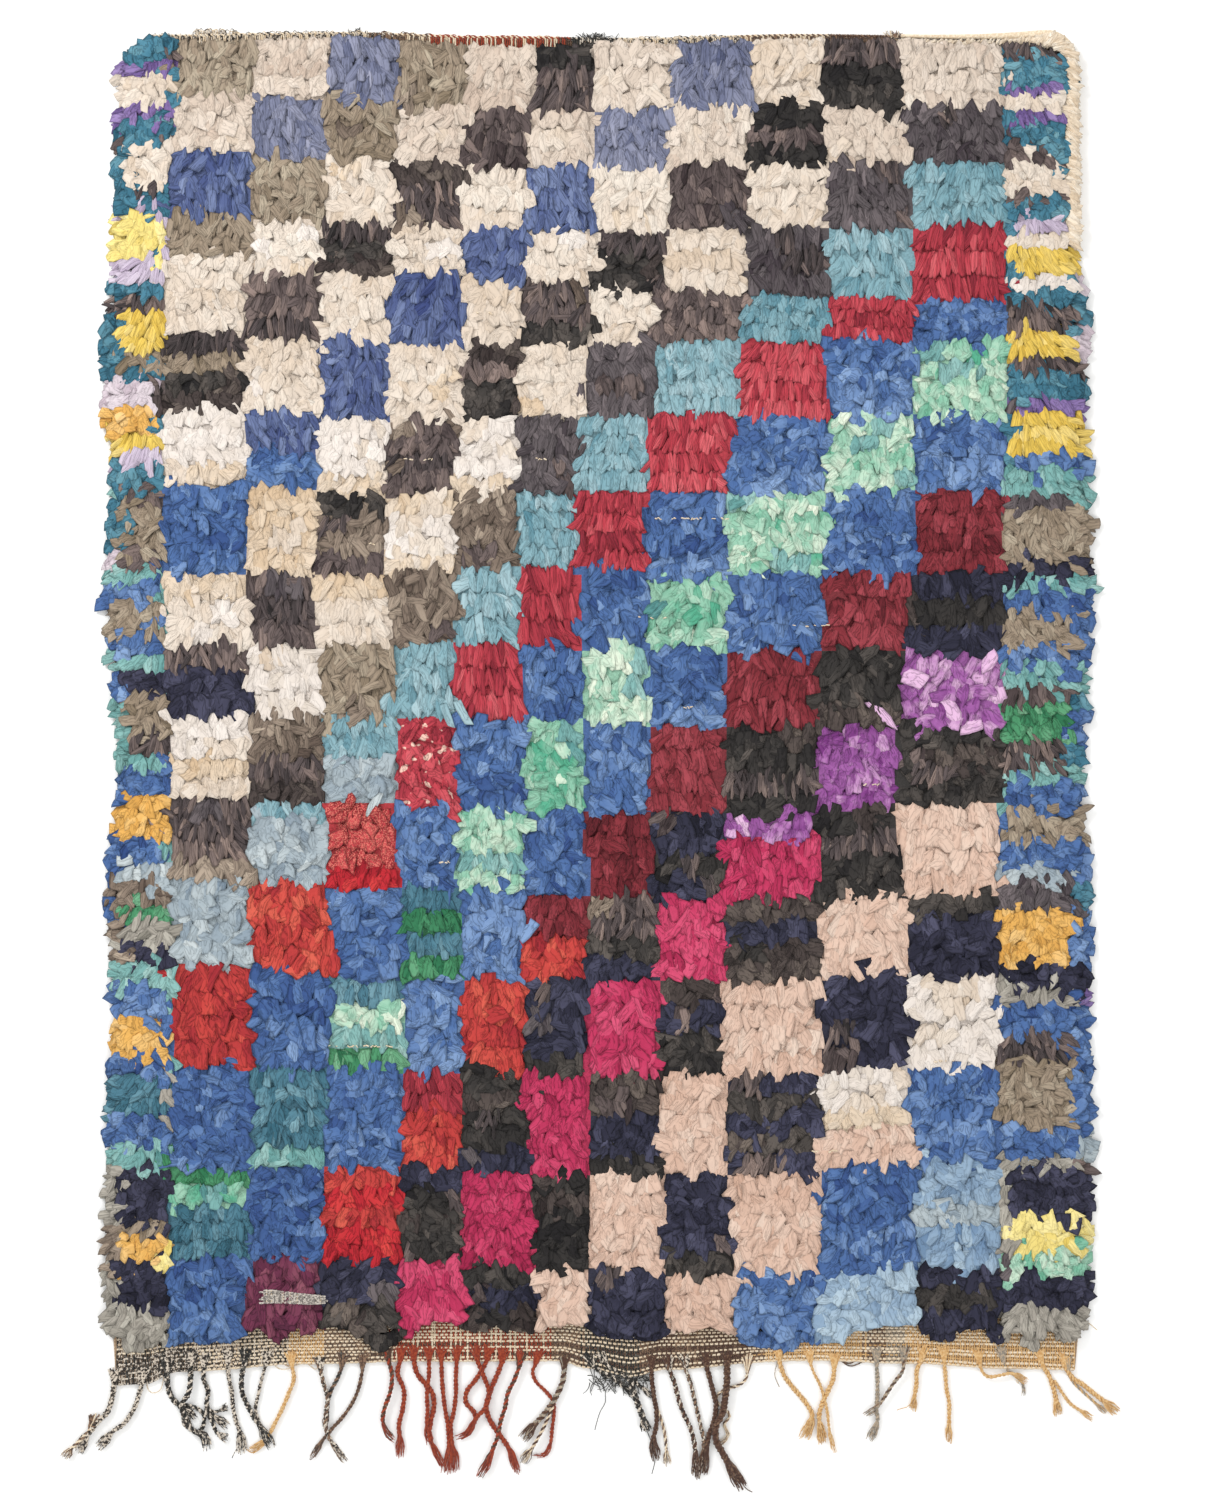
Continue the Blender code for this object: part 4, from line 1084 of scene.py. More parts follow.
def add_piece(name, data, material, slot, *stands_for):
    """Links a finished piece, lets it ride with the rug and hides the solids it stands for."""
    piece = bpy.data.objects.new(name, data)
    if not data.materials:
        data.materials.append(material)
    bpy.context.scene.collection.objects.link(piece)
    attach(piece, "root")
    if stands_for:
        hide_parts(*stands_for)
    return piece


# The cloth under the knots


def far_edge(x):
    """The far edge of the cloth, with its two round corners."""
    left, right = left_edge(TOP_Y) + CORNER_RADIUS, right_edge(TOP_Y) - CORNER_RADIUS
    past = max(left - x, x - right, 0.0)
    return heading_edge(x) - CORNER_RADIUS + math.sqrt(max(CORNER_RADIUS**2 - past**2, 0.0))


def make_ground_cloth():
    """The ground cloth: a flat grid drawn to the rug's outline, with the cloth's thickness."""
    bm = bmesh.new()
    bmesh.ops.create_grid(bm, x_segments=60, y_segments=26, size=0.5)
    for v in bm.verts:
        across, along = v.co.x + 0.5, v.co.y + 0.5
        y = -TOP_Y + along * GROUND_LENGTH
        x = left_edge(y) + across * (right_edge(y) - left_edge(y))
        y = hem_edge(x) + 0.002 + along * (far_edge(x) - hem_edge(x) - 0.002)
        v.co = (x, y, CLOTH_THICKNESS - 0.0004)
    bmesh.ops.recalc_face_normals(bm, faces=bm.faces[:])
    if bm.faces[:][0].normal.z < 0:
        bmesh.ops.reverse_faces(bm, faces=bm.faces[:])
    bmesh.ops.solidify(bm, geom=bm.faces[:], thickness=CLOTH_THICKNESS - 0.0006)
    bmesh.ops.recalc_face_normals(bm, faces=bm.faces[:])
    mesh = bpy.data.meshes.new("ground_cloth")
    bm.to_mesh(mesh)
    bm.free()
    return add_piece("ground_cloth", mesh, ground_material(), "woven_ground", "ground")


# The checks


def line_place(stations, line, at):
    """Where a check line passes, eased between the stations at which it is given."""
    rows = sorted(zip(stations, line))
    if at <= rows[0][0]:
        return rows[0][1]
    for (low_at, low), (high_at, high) in zip(rows, rows[1:]):
        if at <= high_at:
            share = (at - low_at) / (high_at - low_at)
            return low + (high - low) * share * share * (3 - 2 * share)
    return rows[-1][1]


def column_at(x, y, row=0, course=0):
    """The check column at a place, 0 and CHECK_COLUMNS + 1 being the borders, and its two sides there."""
    lines = [line_place(LINE_STATIONS_Y, line, y) for line in COLUMN_LINES]
    if row:
        lines = [line + line_jog(row, number, course) for number, line in enumerate(lines)]
    lines = [left_edge(y), *lines, right_edge(y)]
    for column, (low, high) in enumerate(zip(lines, lines[1:])):
        if x < high:
            break
    return column, low, high


def course_place(row, course, x):
    """How far along the rug a course of knots lies, and the height of a course there."""
    upper = line_place(LINE_STATIONS_X, ROW_LINES[row - 1][:-1], x)
    lower = line_place(LINE_STATIONS_X, ROW_LINES[row][:-1], x)
    pitch = (upper - lower) / ROW_LINES[row - 1].courses
    y = upper - pitch * course
    if row == 1:
        y -= TOP_Y - far_edge(x)
    return y, pitch


def courses():
    """Every course of knots in the field, from the far end: its row and its number in the row."""
    for row, line in enumerate(ROW_LINES[:-1], start=1):
        for course in range(line.courses):
            yield row, course


def border_dye(side, y, inward):
    """The dye of a side border's knot, side -1 for the left, from its place along and its share inward."""
    stripes, below = (LEFT_STRIPES, LEFT_FROM - y) if side < 0 else (RIGHT_STRIPES, RIGHT_FROM - y)
    for stripe in stripes:
        if below < stripe.depth:
            break
        below -= stripe.depth
    width = LEFT_BORDER if side < 0 else RIGHT_BORDER
    frame_width = FRAME_WIDTH * (0.65 + 0.45 * math.sin(170 * y + side))
    if stripe.inner and (1 - inward) * width < frame_width:
        return stripe.inner
    if stripe.outer and inward * width < frame_width:
        return stripe.outer
    return stripe.dye


def check_dye(row, column, course):
    """The dye of a knot in the field, from the diagonal rule and the weaver's changes."""
    if (row, column) in CHANGES:
        dye = CHANGES[row, column][course]
    else:
        dye = [name for first_row, name in DIAGONALS[row + column] if row >= first_row][-1]
    if dye in LOTS:
        return random.Random(row * 617 + column * 43 + course * 11).choice(LOTS[dye])
    return dye


def knot_dye(x, y, row, course, column, low, high):
    """The dye of a knot in a check or in a border, low and high being the two sides of either."""
    if 0 < column <= CHECK_COLUMNS:
        return check_dye(row, column, course)
    side = -1 if column == 0 else 1
    return border_dye(side, y, abs(x - (low if side < 0 else high)) / (high - low))


def line_jog(row, column, course):
    """How far a column line steps aside at one course, as the knots at its two sides are tied unevenly."""
    return random.Random(row * 1000 + column * 30 + course).gauss(0.0, 0.0052)


# The rags


def rag_template(kind, chance):
    """One rag as it shows: it lies along Y over its middle, folded lengthwise, with two cut ends.

    A pleat has one ridge. A flap is crumpled along two creases. The flat underside joins the two edges.
    """
    corners, cuts = (3, 3) if kind == "pleat" else (4, 2)
    bm = bmesh.new()
    bmesh.ops.create_cone(bm, cap_ends=True, segments=corners, radius1=0.5, radius2=0.5, depth=1.0)
    long_edges = [edge for edge in bm.edges if abs(edge.verts[0].co.z - edge.verts[1].co.z) > 0.5]
    bmesh.ops.subdivide_edges(bm, edges=long_edges, cuts=cuts)
    cloth_layer = bm.verts.layers.float_vector.new("cloth")
    turn = 2 * math.pi / corners
    ends = [chance.choice((1.0, 0.95, 0.85, 0.6, 0.3)), chance.choice((1.0, 0.9, 0.8, 0.5, 0.25))]
    slants = [chance.uniform(-0.28, 0.28), chance.uniform(-0.30, 0.30)]
    points = [chance.uniform(-0.02, 0.05), chance.uniform(-0.05, 0.12)]
    curl, shear = chance.uniform(-0.30, 0.30), chance.uniform(-0.15, 0.15)
    droops = [chance.uniform(0.25, 0.7), chance.uniform(0.2, 0.9)]
    ridge, ridge_rise = chance.uniform(-0.20, 0.20), chance.uniform(0.28, 0.62)
    creases = []
    for _ in range(2):
        angle = chance.gauss(0.0, 0.6)
        rise = chance.uniform(0.5, 1.1) * chance.choice((-1, 1))
        creases.append((math.cos(angle), math.sin(angle), chance.uniform(-0.25, 0.25), rise))
    for v in bm.verts:
        s = -v.co.z
        k = round(math.atan2(v.co.y, v.co.x) / turn) % corners
        u = k / (corners - 1) - 0.5
        v[cloth_layer] = (u, s, 0.0)
        end = 0 if s < 0 else 1
        past = abs(2 * s)
        width = 1.0 - (1.0 - ends[end]) * past**3
        z = -droops[end] * past**2
        if kind == "pleat":
            z += (ridge_rise if k == 1 else 0.0) * (1.0 - 0.3 * past)
            u = ridge if k == 1 else u
        else:
            for across, along, offset, rise in creases:
                z += rise * (0.22 - abs(u * across + s * along - offset))
            z += chance.uniform(-0.10, 0.10)
            if 0 < k < corners - 1:
                z = max(z, -droops[end] * past**2 - 0.15)
            else:
                z = min(z, 0.1) - 0.22
        length = s * (1.0 + points[end] * (1.0 - 4 * u * u)) + slants[end] * u * abs(s) * 2
        x = u * width + shear * s + curl * s * s
        v.co = (x + chance.uniform(-0.04, 0.04), -length, z)
    return bm


def rag_arrays(kind, chance):
    """A rag template's corners, their places on the cloth (across, along) and its faces."""
    bm = rag_template(kind, chance)
    bmesh.ops.recalc_face_normals(bm, faces=bm.faces[:])
    if bm.calc_volume(signed=True) < 0:
        bmesh.ops.reverse_faces(bm, faces=bm.faces[:])
    bm.verts.index_update()
    corners = np.array([v.co[:] for v in bm.verts])
    cloth_layer = bm.verts.layers.float_vector["cloth"]
    cloth = np.array([v[cloth_layer][:] for v in bm.verts])
    faces = [[v.index for v in face.verts] for face in bm.faces]
    bm.free()
    return corners, cloth, faces


class RagBasket:
    """Collects the rags of the whole rug, sorted by dye, and sews each dye's rags into one mesh."""

    VARIANTS = 24

    def __init__(self, chance):
        self.templates = {}
        for kind in ("pleat", "flap"):
            self.templates[kind] = [rag_arrays(kind, chance) for _ in range(self.VARIANTS)]
        self.rags = defaultdict(list)
        self.chance = chance

    def lay(self, dye, place, turns, size, kind, tone):
        """Lays one rag from its root: turns are its lift, roll and yaw in degrees."""
        lift, roll, yaw = (math.radians(turn) for turn in turns)
        matrix = Euler((-lift, roll, yaw), "XYZ").to_matrix() @ Matrix.Diagonal(size)
        if kind == "either":
            kind = self.chance.choice(("pleat", "flap"))
        self.rags[dye].append((kind, self.chance.randrange(self.VARIANTS), matrix, place, tone))

    def sew(self, dye):
        """All the rags of one dye as one mesh, with each rag's tone and its cloth's places as attributes."""
        corners, faces, tones, cloths, count = [], [], [], [], 0
        for kind, variant, matrix, place, tone in self.rags[dye]:
            shape, cloth, shape_faces = self.templates[kind][variant]
            corners.append(shape @ np.array(matrix).T + np.array(place))
            faces += [[count + k for k in face] for face in shape_faces]
            tones.append(tone - 0.15 * shape[:, 1])
            cloths.append(cloth + (0.0, 0.0, self.chance.random()))
            count += len(shape)
        corners = np.concatenate(corners)
        corners[:, 2] = np.maximum(corners[:, 2], CLOTH_THICKNESS + 0.0006)
        mesh = bpy.data.meshes.new(f"rags_{dye}")
        mesh.from_pydata(corners, [], faces)
        mesh.attributes.new("tone", "FLOAT", "POINT").data.foreach_set("value", np.concatenate(tones))
        cloth_places = mesh.attributes.new("cloth", "FLOAT_VECTOR", "POINT")
        cloth_places.data.foreach_set("vector", np.concatenate(cloths).ravel())
        mesh.shade_smooth()
        mesh.set_sharp_from_angle(angle=math.radians(14))
        return mesh


class Batches:
    """The small differences between one batch of rags and the next: tone and lean, by check and course."""

    def __init__(self, chance):
        self.chance = chance
        self.known = {}

    def of(self, *place):
        if place not in self.known:
            self.known[place] = (self.chance.gauss(0.0, 0.08), self.chance.gauss(0.0, 5.0))
        return self.known[place]


def fold_line(y):
    """Where the crease of a rug that was kept folded lengthwise passes, at a place along it."""
    return FOLD_AT - FOLD_BOW * math.sin(math.pi * (1.0 - y) / 2)


def pile_hem(x):
    """How far down the rug the pile's rags reach at a place across."""
    return line_place([place.x for place in PILE_HEM], [place.y for place in PILE_HEM], x)


def pile_top(x):
    """How far up the rug the pile's rags reach at a place across: a little short of the twined edge."""
    return far_edge(x) - eased(HEADING_BARE, x, "drop")


def odd_dye(dye, row, column, course, across):
    """The dye of a knot in a check: its own, or a near shade's over one stretch of the course."""
    chance = random.Random(row * 977 + column * 31 + course * 7)
    if dye not in NEAR_SHADES or chance.random() > ODD_SHARE:
        return dye
    near = chance.choice(NEAR_SHADES[dye])
    start, length = chance.uniform(-0.2, 0.8), chance.uniform(0.15, 0.6)
    return near if start < across < start + length else dye


def lay_rag(basket, chance, dye, tie, x, y, low, high, lean, tone, shorter=1.0):
    """Lays one rag of the pile over the place x, y, between the two sides of its check."""
    across = min(max((x - low) / (high - low), 0.0), 1.0)
    yaw = lean + chance.gauss(0.0, tie.yaw) + SIDE_FAN * chance.uniform(0.2, 1.3) * (2 * across - 1) ** 3
    width = tie.width * chance.uniform(0.72, 1.30)
    length = tie.length * chance.uniform(0.82, 1.14) * shorter
    stray = chance.random() < STRAY_SHARE
    if stray:
        yaw += chance.uniform(-80, 80)
    turned = math.radians(yaw)
    half = (width * abs(math.cos(turned)) + length * abs(math.sin(turned))) / 2
    spill = PLEAT_SPILL if tie.kind == "pleat" else FLAP_SPILL
    over = max(chance.gauss(*spill), -0.0015)
    if not stray:
        x = min(max(x, low + half - over), high - half + over)
    beside_fold = x - fold_line(y)
    if abs(beside_fold) < half and chance.random() < FOLD_SHARE:
        x = fold_line(y) + math.copysign(half - 0.0004, beside_fold)
    z = CREST_HEIGHT + CHECK_DOME * math.sin(math.pi * across) ** 0.5 + chance.uniform(-0.0013, 0.0013)
    lift, roll = chance.gauss(-1.0, tie.lift), chance.gauss(0.0, tie.roll)
    turns = (min(max(lift, -MOST_LIFT), MOST_LIFT), min(max(roll, -MOST_ROLL), MOST_ROLL), yaw)
    size = (width, length, tie.rise * chance.uniform(0.75, 1.25))
    y = max(y + chance.gauss(0.0, tie.scatter), pile_hem(x) + 0.46 * length * math.cos(turned))
    place = (x, min(y, pile_top(x) - 0.42 * length), z)
    uneven = 0.20 - 0.12 * lightness_of(DYES[dye])
    basket.lay(dye, place, turns, size, tie.kind, 0.5 + tone + chance.gauss(0.0, uneven))


def lay_field(basket, chance):
    """All the courses of knots in the checks, from the far end to the hem."""
    batches = Batches(random.Random(23))
    for row, course in courses():
        y, pitch = course_place(row, course, 0.0)
        x, right = (line_place(LINE_STATIONS_Y, COLUMN_LINES[k], y) for k in (0, -1))
        while x < right:
            y, pitch = course_place(row, course, x)
            y -= pitch / 2
            column, low, high = column_at(x + chance.gauss(0.0, 0.001), y, row, course)
            column = min(max(column, 1), CHECK_COLUMNS)
            dye = odd_dye(check_dye(row, column, course), row, column, course, (x - low) / (high - low))
            tie = TIES[DYES[dye].tie]
            tone, lean = (a + b for a, b in zip(batches.of(row, column), batches.of(row, column, course)))
            if tie.kind == "flap":
                lean *= 0.6
            y += random.Random(row * 53 + column * 7).gauss(0.0, 0.0026)
            lay_rag(basket, chance, dye, tie, x, y, low, high, lean, tone, (pitch / 0.0315) ** 0.8)
            x += tie.spacing * chance.uniform(0.7, 1.3)


def lay_borders(basket, chance):
    """The knots of the two side borders, on finer courses than the checks have."""
    batches = Batches(random.Random(29))
    for side, edge, inner_line in ((-1, left_edge, COLUMN_LINES[0]), (1, right_edge, COLUMN_LINES[-1])):
        top = LEFT_FROM if side < 0 else RIGHT_FROM
        for number, y_course in enumerate(spread(top - 0.008, BORDER_END, BORDER_PITCH)):
            outer, inner = edge(y_course), line_place(LINE_STATIONS_Y, inner_line, y_course)
            low, high = min(outer, inner), max(outer, inner)
            x = low + chance.uniform(0.0, 0.005)
            while x < high:
                y = min(y_course, far_edge(x) - 0.008) + chance.gauss(0.0, 0.002)
                inward = abs(x - outer) / (high - low)
                dye = border_dye(side, y, inward)
                tie = TIES[DYES[dye].tie]
                tone, lean = batches.of(side, number)
                lean += side * BORDER_FAN * (1 - inward)
                lay_rag(basket, chance, dye, tie, x, y, low, high, lean, tone, 0.86)
                x += tie.spacing * chance.uniform(0.8, 1.4)


def lay_rim(basket, chance):
    """The loose ends that hang out over the rug's two sides, its far edge and its woven band."""
    for side, edge in ((-1, left_edge), (1, right_edge)):
        for y in spread(TOP_Y - 0.035, BORDER_END, 0.0058):
            y += chance.gauss(0.0, 0.003)
            beside_wrap = side > 0 and TOP_Y - y < WRAP_LENGTH_DOWN
            dye = border_dye(side, y, 0.0)
            tie = TIES[DYES[dye].tie]
            out = chance.uniform(-0.010, 0.004) + 0.008 * chance.random() ** 3
            if beside_wrap:
                out -= 0.010
            yaw = side * (90 + chance.gauss(-18, 28))
            length = tie.length * chance.uniform(0.7, 1.05)
            size = (tie.width * chance.uniform(0.7, 1.1), length, tie.rise)
            place = (edge(y) + side * out, y, RIM_HEIGHT + chance.uniform(-0.003, 0.002))
            turns = (chance.gauss(0 if beside_wrap else -15, 6), chance.gauss(0, 12), yaw)
            basket.lay(dye, place, turns, size, tie.kind, chance.gauss(0.5, 0.18))
    last_row = len(ROW_LINES) - 1
    for row, course, far in ((1, 0, True), (last_row, ROW_LINES[last_row - 1].courses - 1, False)):
        x = left_edge(0.0) + 0.01
        while x < right_edge(0.0) - 0.01:
            y, pitch = course_place(row, course, x)
            column, low, high = column_at(x, y - pitch / 2)
            dye = knot_dye(x, y, row, course, column, low, high)
            tie = TIES[DYES[dye].tie]
            length = tie.length * chance.uniform(0.6, 0.95)
            y_laid = pile_top(x) - 0.44 * length if far else pile_hem(x) + 0.46 * length
            yaw = (180 if far else 0) + chance.gauss(0, 14)
            size = (tie.width * chance.uniform(0.7, 1.1), length, tie.rise)
            turns = (chance.gauss(-14, 6), chance.gauss(0, 12), yaw)
            basket.lay(dye, (x, y_laid, RIM_HEIGHT), turns, size, tie.kind, chance.gauss(0.5, 0.18))
            x += 0.0060 * chance.uniform(0.7, 1.3)


def lay_loose_rags(basket):
    """The few rags that lie over their neighbours."""
    for rag in LOOSE_RAGS:
        place = (rag.x, rag.y, CREST_HEIGHT + LOOSE_RISE)
        size = (rag.width, rag.length, LOOSE_CREASE)
        basket.lay(rag.dye, place, (3.0, 0.0, rag.yaw), size, "flap", rag.tone)


def dye_at(x, y):
    """The dye of the knots at a place."""
    for row, course in courses():
        line, pitch = course_place(row, course, x)
        if y > line - pitch:
            break
    return knot_dye(x, y, row, course, *column_at(x, y))


def make_pile_mat():
    """The knots' roots under the rags, as a low lumpy mat in the hue of each check's dye, a little darkened,
    the dark dyes most, as painted shade between the rags.
    """
    chance = random.Random(5)
    bm = bmesh.new()
    bmesh.ops.create_grid(bm, x_segments=112, y_segments=150, size=0.5)
    for v in bm.verts:
        across, along = v.co.x + 0.5, v.co.y + 0.5
        y = MAT_LOW + along * (MAT_HIGH - MAT_LOW)
        left, right = left_edge(y) + 2 * PILE_INSET, right_edge(y) - 2 * PILE_INSET
        x = left + across * (right - left)
        y -= along**8 * (TOP_Y - far_edge(x))
        rim = min(across, 1.0 - across, along, 1.0 - along)
        v.co = (x, y, MAT_HEIGHT + chance.uniform(-0.0012, 0.0012) - 0.006 * max(0.0, 1.0 - rim / 0.02))
    dye_and_gap_shade_layer = bm.faces.layers.float_color.new("dye")
    for face in bm.faces:
        middle = face.calc_center_bounds()
        shade = linear(DYES[dye_at(middle.x, middle.y)].main)
        # The dye's main colour a little darkened, the dark dyes most: painted shade between the rags.
        face[dye_and_gap_shade_layer] = (*[part * (0.86 + 0.2 * part) for part in shade], 1.0)
    rim = [edge for edge in bm.edges if edge.is_boundary]
    walls = bmesh.ops.extrude_edge_only(bm, edges=rim)["geom"]
    for v in walls:
        if isinstance(v, bmesh.types.BMVert):
            v.co.z = CLOTH_THICKNESS + 0.0003
    bmesh.ops.holes_fill(bm, edges=[edge for edge in bm.edges if edge.is_boundary], sides=0)
    bmesh.ops.recalc_face_normals(bm, faces=bm.faces[:])
    mesh = bpy.data.meshes.new("pile_mat")
    bm.to_mesh(mesh)
    bm.free()
    mesh.shade_smooth()
    return add_piece("pile_mat", mesh, mat_material(), "rag_pile", "pile")


# Yarn


def add_yarns(name, strands, slot, *stands_for, sides=0):
    """Many yarns as one curve object: each strand is (yarn name, points, radii)."""
    curve = bpy.data.curves.new(name, "CURVE")
    curve.dimensions = "3D"
    curve.bevel_depth = 1.0
    curve.bevel_resolution = sides
    curve.use_fill_caps = True
    kinds = sorted({strand[0] for strand in strands})
    for kind in kinds:
        curve.materials.append(yarn_materials[kind])
    for kind, points, radii in strands:
        spline = curve.splines.new("POLY")
        spline.points.add(len(points) - 1)
        for knot, place, radius in zip(spline.points, points, radii):
            knot.co = (*place, 1.0)
            knot.radius = radius
        spline.material_index = kinds.index(kind)
        spline.use_smooth = True
    return add_piece(name, curve, None, slot, *stands_for)


def run_at(runs, x):
    """The last run of a table that starts at or before a place across the rug."""
    return [run for run in runs if run.start <= x][-1]


def make_weave_band(chance):
    """The woven end band: weft yarns that go over and under each warp, and the warps between them."""
    strands = []
    warp_places = spread(left_edge(-TOP_Y) + 0.0016, right_edge(-TOP_Y) - 0.0016, WARP_PITCH)
    middle = CLOTH_THICKNESS + 0.0012

    def row_place(x, row):
        low = hem_edge(x) + 0.0016
        return low + (BAND_TOP - low) * row / (BAND_ROWS - 1)

    for row in range(BAND_ROWS):
        for low, high, twined_with, fullness in BAND_WEFTS:
            twined = twined_with and row in TWINED_ROWS
            dark = low < -0.7 and row < 6
            points, radii = [], []
            for number, x in enumerate(warp_places):
                if low <= x <= high + WARP_PITCH:
                    side = 1 if (number + row) % 2 else -1
                    wander = 0.0006 * math.sin(x * 37 + row * 1.7) + chance.uniform(-0.0005, 0.0005)
                    points.append((x, row_place(x, row) + wander, middle + side * WEAVE_LIFT * 0.8))
                    radius = TWINED_RADIUS if twined else WEFT_RADIUS * fullness
                    radii.append(radius * chance.uniform(0.78, 1.15))
            kind = twined_with if twined else ("melange" if dark else "ecru")
            strands.append((kind, points, radii))
    for number, x in enumerate(warp_places):
        kind = run_at(WARP_RUNS, x + chance.uniform(-0.008, 0.008)).yarn
        if kind == "rust" and chance.random() < 0.2:
            kind = "ecru"
        if kind == "melange":
            kind = chance.choice(("melange", "melange", "black"))
        sway = chance.uniform(-0.0005, 0.0005)
        points = []
        for row in range(BAND_ROWS):
            side = -1 if (number + row) % 2 else 1
            points.append((x + sway * math.sin(row), row_place(x, row), middle + side * WEAVE_LIFT))
        strands.append((kind, points, [WARP_RADIUS * chance.uniform(0.85, 1.2)] * len(points)))
    return add_yarns("weave_band", strands, "woven_ground")


def smooth_route(places, step):
    """A smooth curve through places on the floor, as points about one step apart."""
    padded = [2 * places[0] - places[1], *places, 2 * places[-1] - places[-2]]
    route = []
    for before, start, end, after in zip(padded, padded[1:], padded[2:], padded[3:]):
        count = max(2, round((end - start).length / step))
        for k in range(count):
            s = k / count
            bend = (2 * before - 5 * start + 4 * end - after) * s * s
            bend += (3 * (start - end) + after - before) * s**3
            route.append(start + ((end - before) * s + bend) / 2)
    return [*route, places[-1]]


def across_route(route, k):
    """The direction across a route at its point k."""
    ahead = route[min(k + 1, len(route) - 1)] - route[max(k - 1, 0)]
    return Vector((-ahead.y, ahead.x)).normalized()


def ply(route, girth, turn, base, chance):
    """One ply of a strand, which winds round the strand's middle."""
    points, radii = [], []
    gone = 0.0
    for k, place in enumerate(route):
        gone += (place - route[max(k - 1, 0)]).length
        angle = turn + 2 * math.pi * gone / PLY_PITCH
        off = across_route(route, k) * (girth * 0.30 * math.cos(angle))
        z = base + girth * (0.62 + 0.24 * math.sin(angle))
        points.append((place.x + off.x, place.y + off.y, z))
        radii.append(girth * 0.36 * chance.uniform(0.90, 1.08))
    return points, radii


def tuft_hair(route, girth, lean, base, chance):
    """One loose end of a tuft: it leaves the plied part and strays sideways by lean."""
    points, radii = [], []
    last = len(route) - 1
    reach = chance.uniform(0.72, 1.0)
    height = chance.uniform(0.15, 0.95)
    wave = chance.uniform(0, 6)
    for step in range(6):
        k = round(last * reach * step / 5)
        opened = math.sin(math.pi * 0.60 * step / 5)
        off = across_route(route, k) * (lean * opened + 0.0007 * math.sin(step * 2.1 + wave))
        z = max(base + 0.0014 + girth * 0.9 * height * (1 - 0.6 * step / 5), 0.0016)
        points.append((route[k].x + off.x, route[k].y + off.y, z))
        radii.append(girth * 0.19 * (1.0 - 0.60 * step / 5))
    return points, radii


def root_fan(route, offset, chance):
    """One warp on its way from the weave into a strand: it starts up in the band and is drawn in."""
    points, radii = [], []
    rise = (FAN_RISE - 0.3 * abs(offset)) * chance.uniform(0.7, 1.15)
    for step in range(6):
        share = step / 5
        place = route[min(round(share * 0.014 / 0.0024), len(route) - 1)]
        drawn = offset * (1 - share) ** 1.4
        y = place.y + rise * (1 - share) ** 1.2
        z = 0.0052 + 0.0010 * math.sin(math.pi * share) + chance.uniform(0.0, 0.0006)
        points.append((place.x + drawn, y, z))
        radii.append(0.0013 + 0.0005 * share)
    return points, radii


def make_fringe(chance):
    """The knotted warp ends: plied cords that open into tufts, drawn together from the hem."""
    strands = []
    for number, strand in enumerate(STRANDS):
        girth, tuft = strand.girth * MM, strand.tuft * MM
        route = smooth_route([Vector(place) * MM for place in strand.route], 0.0024)
        base = 0.0008 + 0.0030 * (number % 3 == 1)
        split = round(len(route) * TUFT_FROM)
        for turn, kind in ((0.0, strand.first), (math.pi, strand.second)):
            strands.append((kind, *ply(route[: split + 2], girth, turn, base, chance)))
        hairs = 6 + round(strand.tuft * 0.8)
        for hair in range(hairs):
            lean = tuft * 0.55 * (2 * hair / (hairs - 1) - 1) + chance.uniform(-0.001, 0.001)
            kind = strand.second if hair % 3 == 1 else strand.first
            strands.append((kind, *tuft_hair(route[split - 2 :], girth, lean, base, chance)))
        if route[0].y > -1.045 or route[0].x < -0.70:
            for offset in spread(-FAN_WIDTH, FAN_WIDTH, 0.0027):
                kind = strand.second if chance.random() < 0.25 else strand.first
                strands.append((kind, *root_fan(route, offset, chance)))
    for yarn, radius, places in LOOSE_ENDS:
        route = smooth_route([Vector(place) * MM for place in places], 0.003)
        points = [(place.x, place.y, 0.0020 + 0.0008 * math.sin(9 * k)) for k, place in enumerate(route)]
        strands.append((yarn, points, [radius * MM] * len(points)))
    for _ in range(NET_LOOPS):
        x, y = chance.uniform(*NET_X), chance.uniform(*NET_Y)
        strands.append(("black", *loose_thread((x, y), chance.uniform(-150, 20), 0.022, chance, 0.005)))
    return add_yarns("fringe_yarns", strands, "warp_yarn", "fringe")


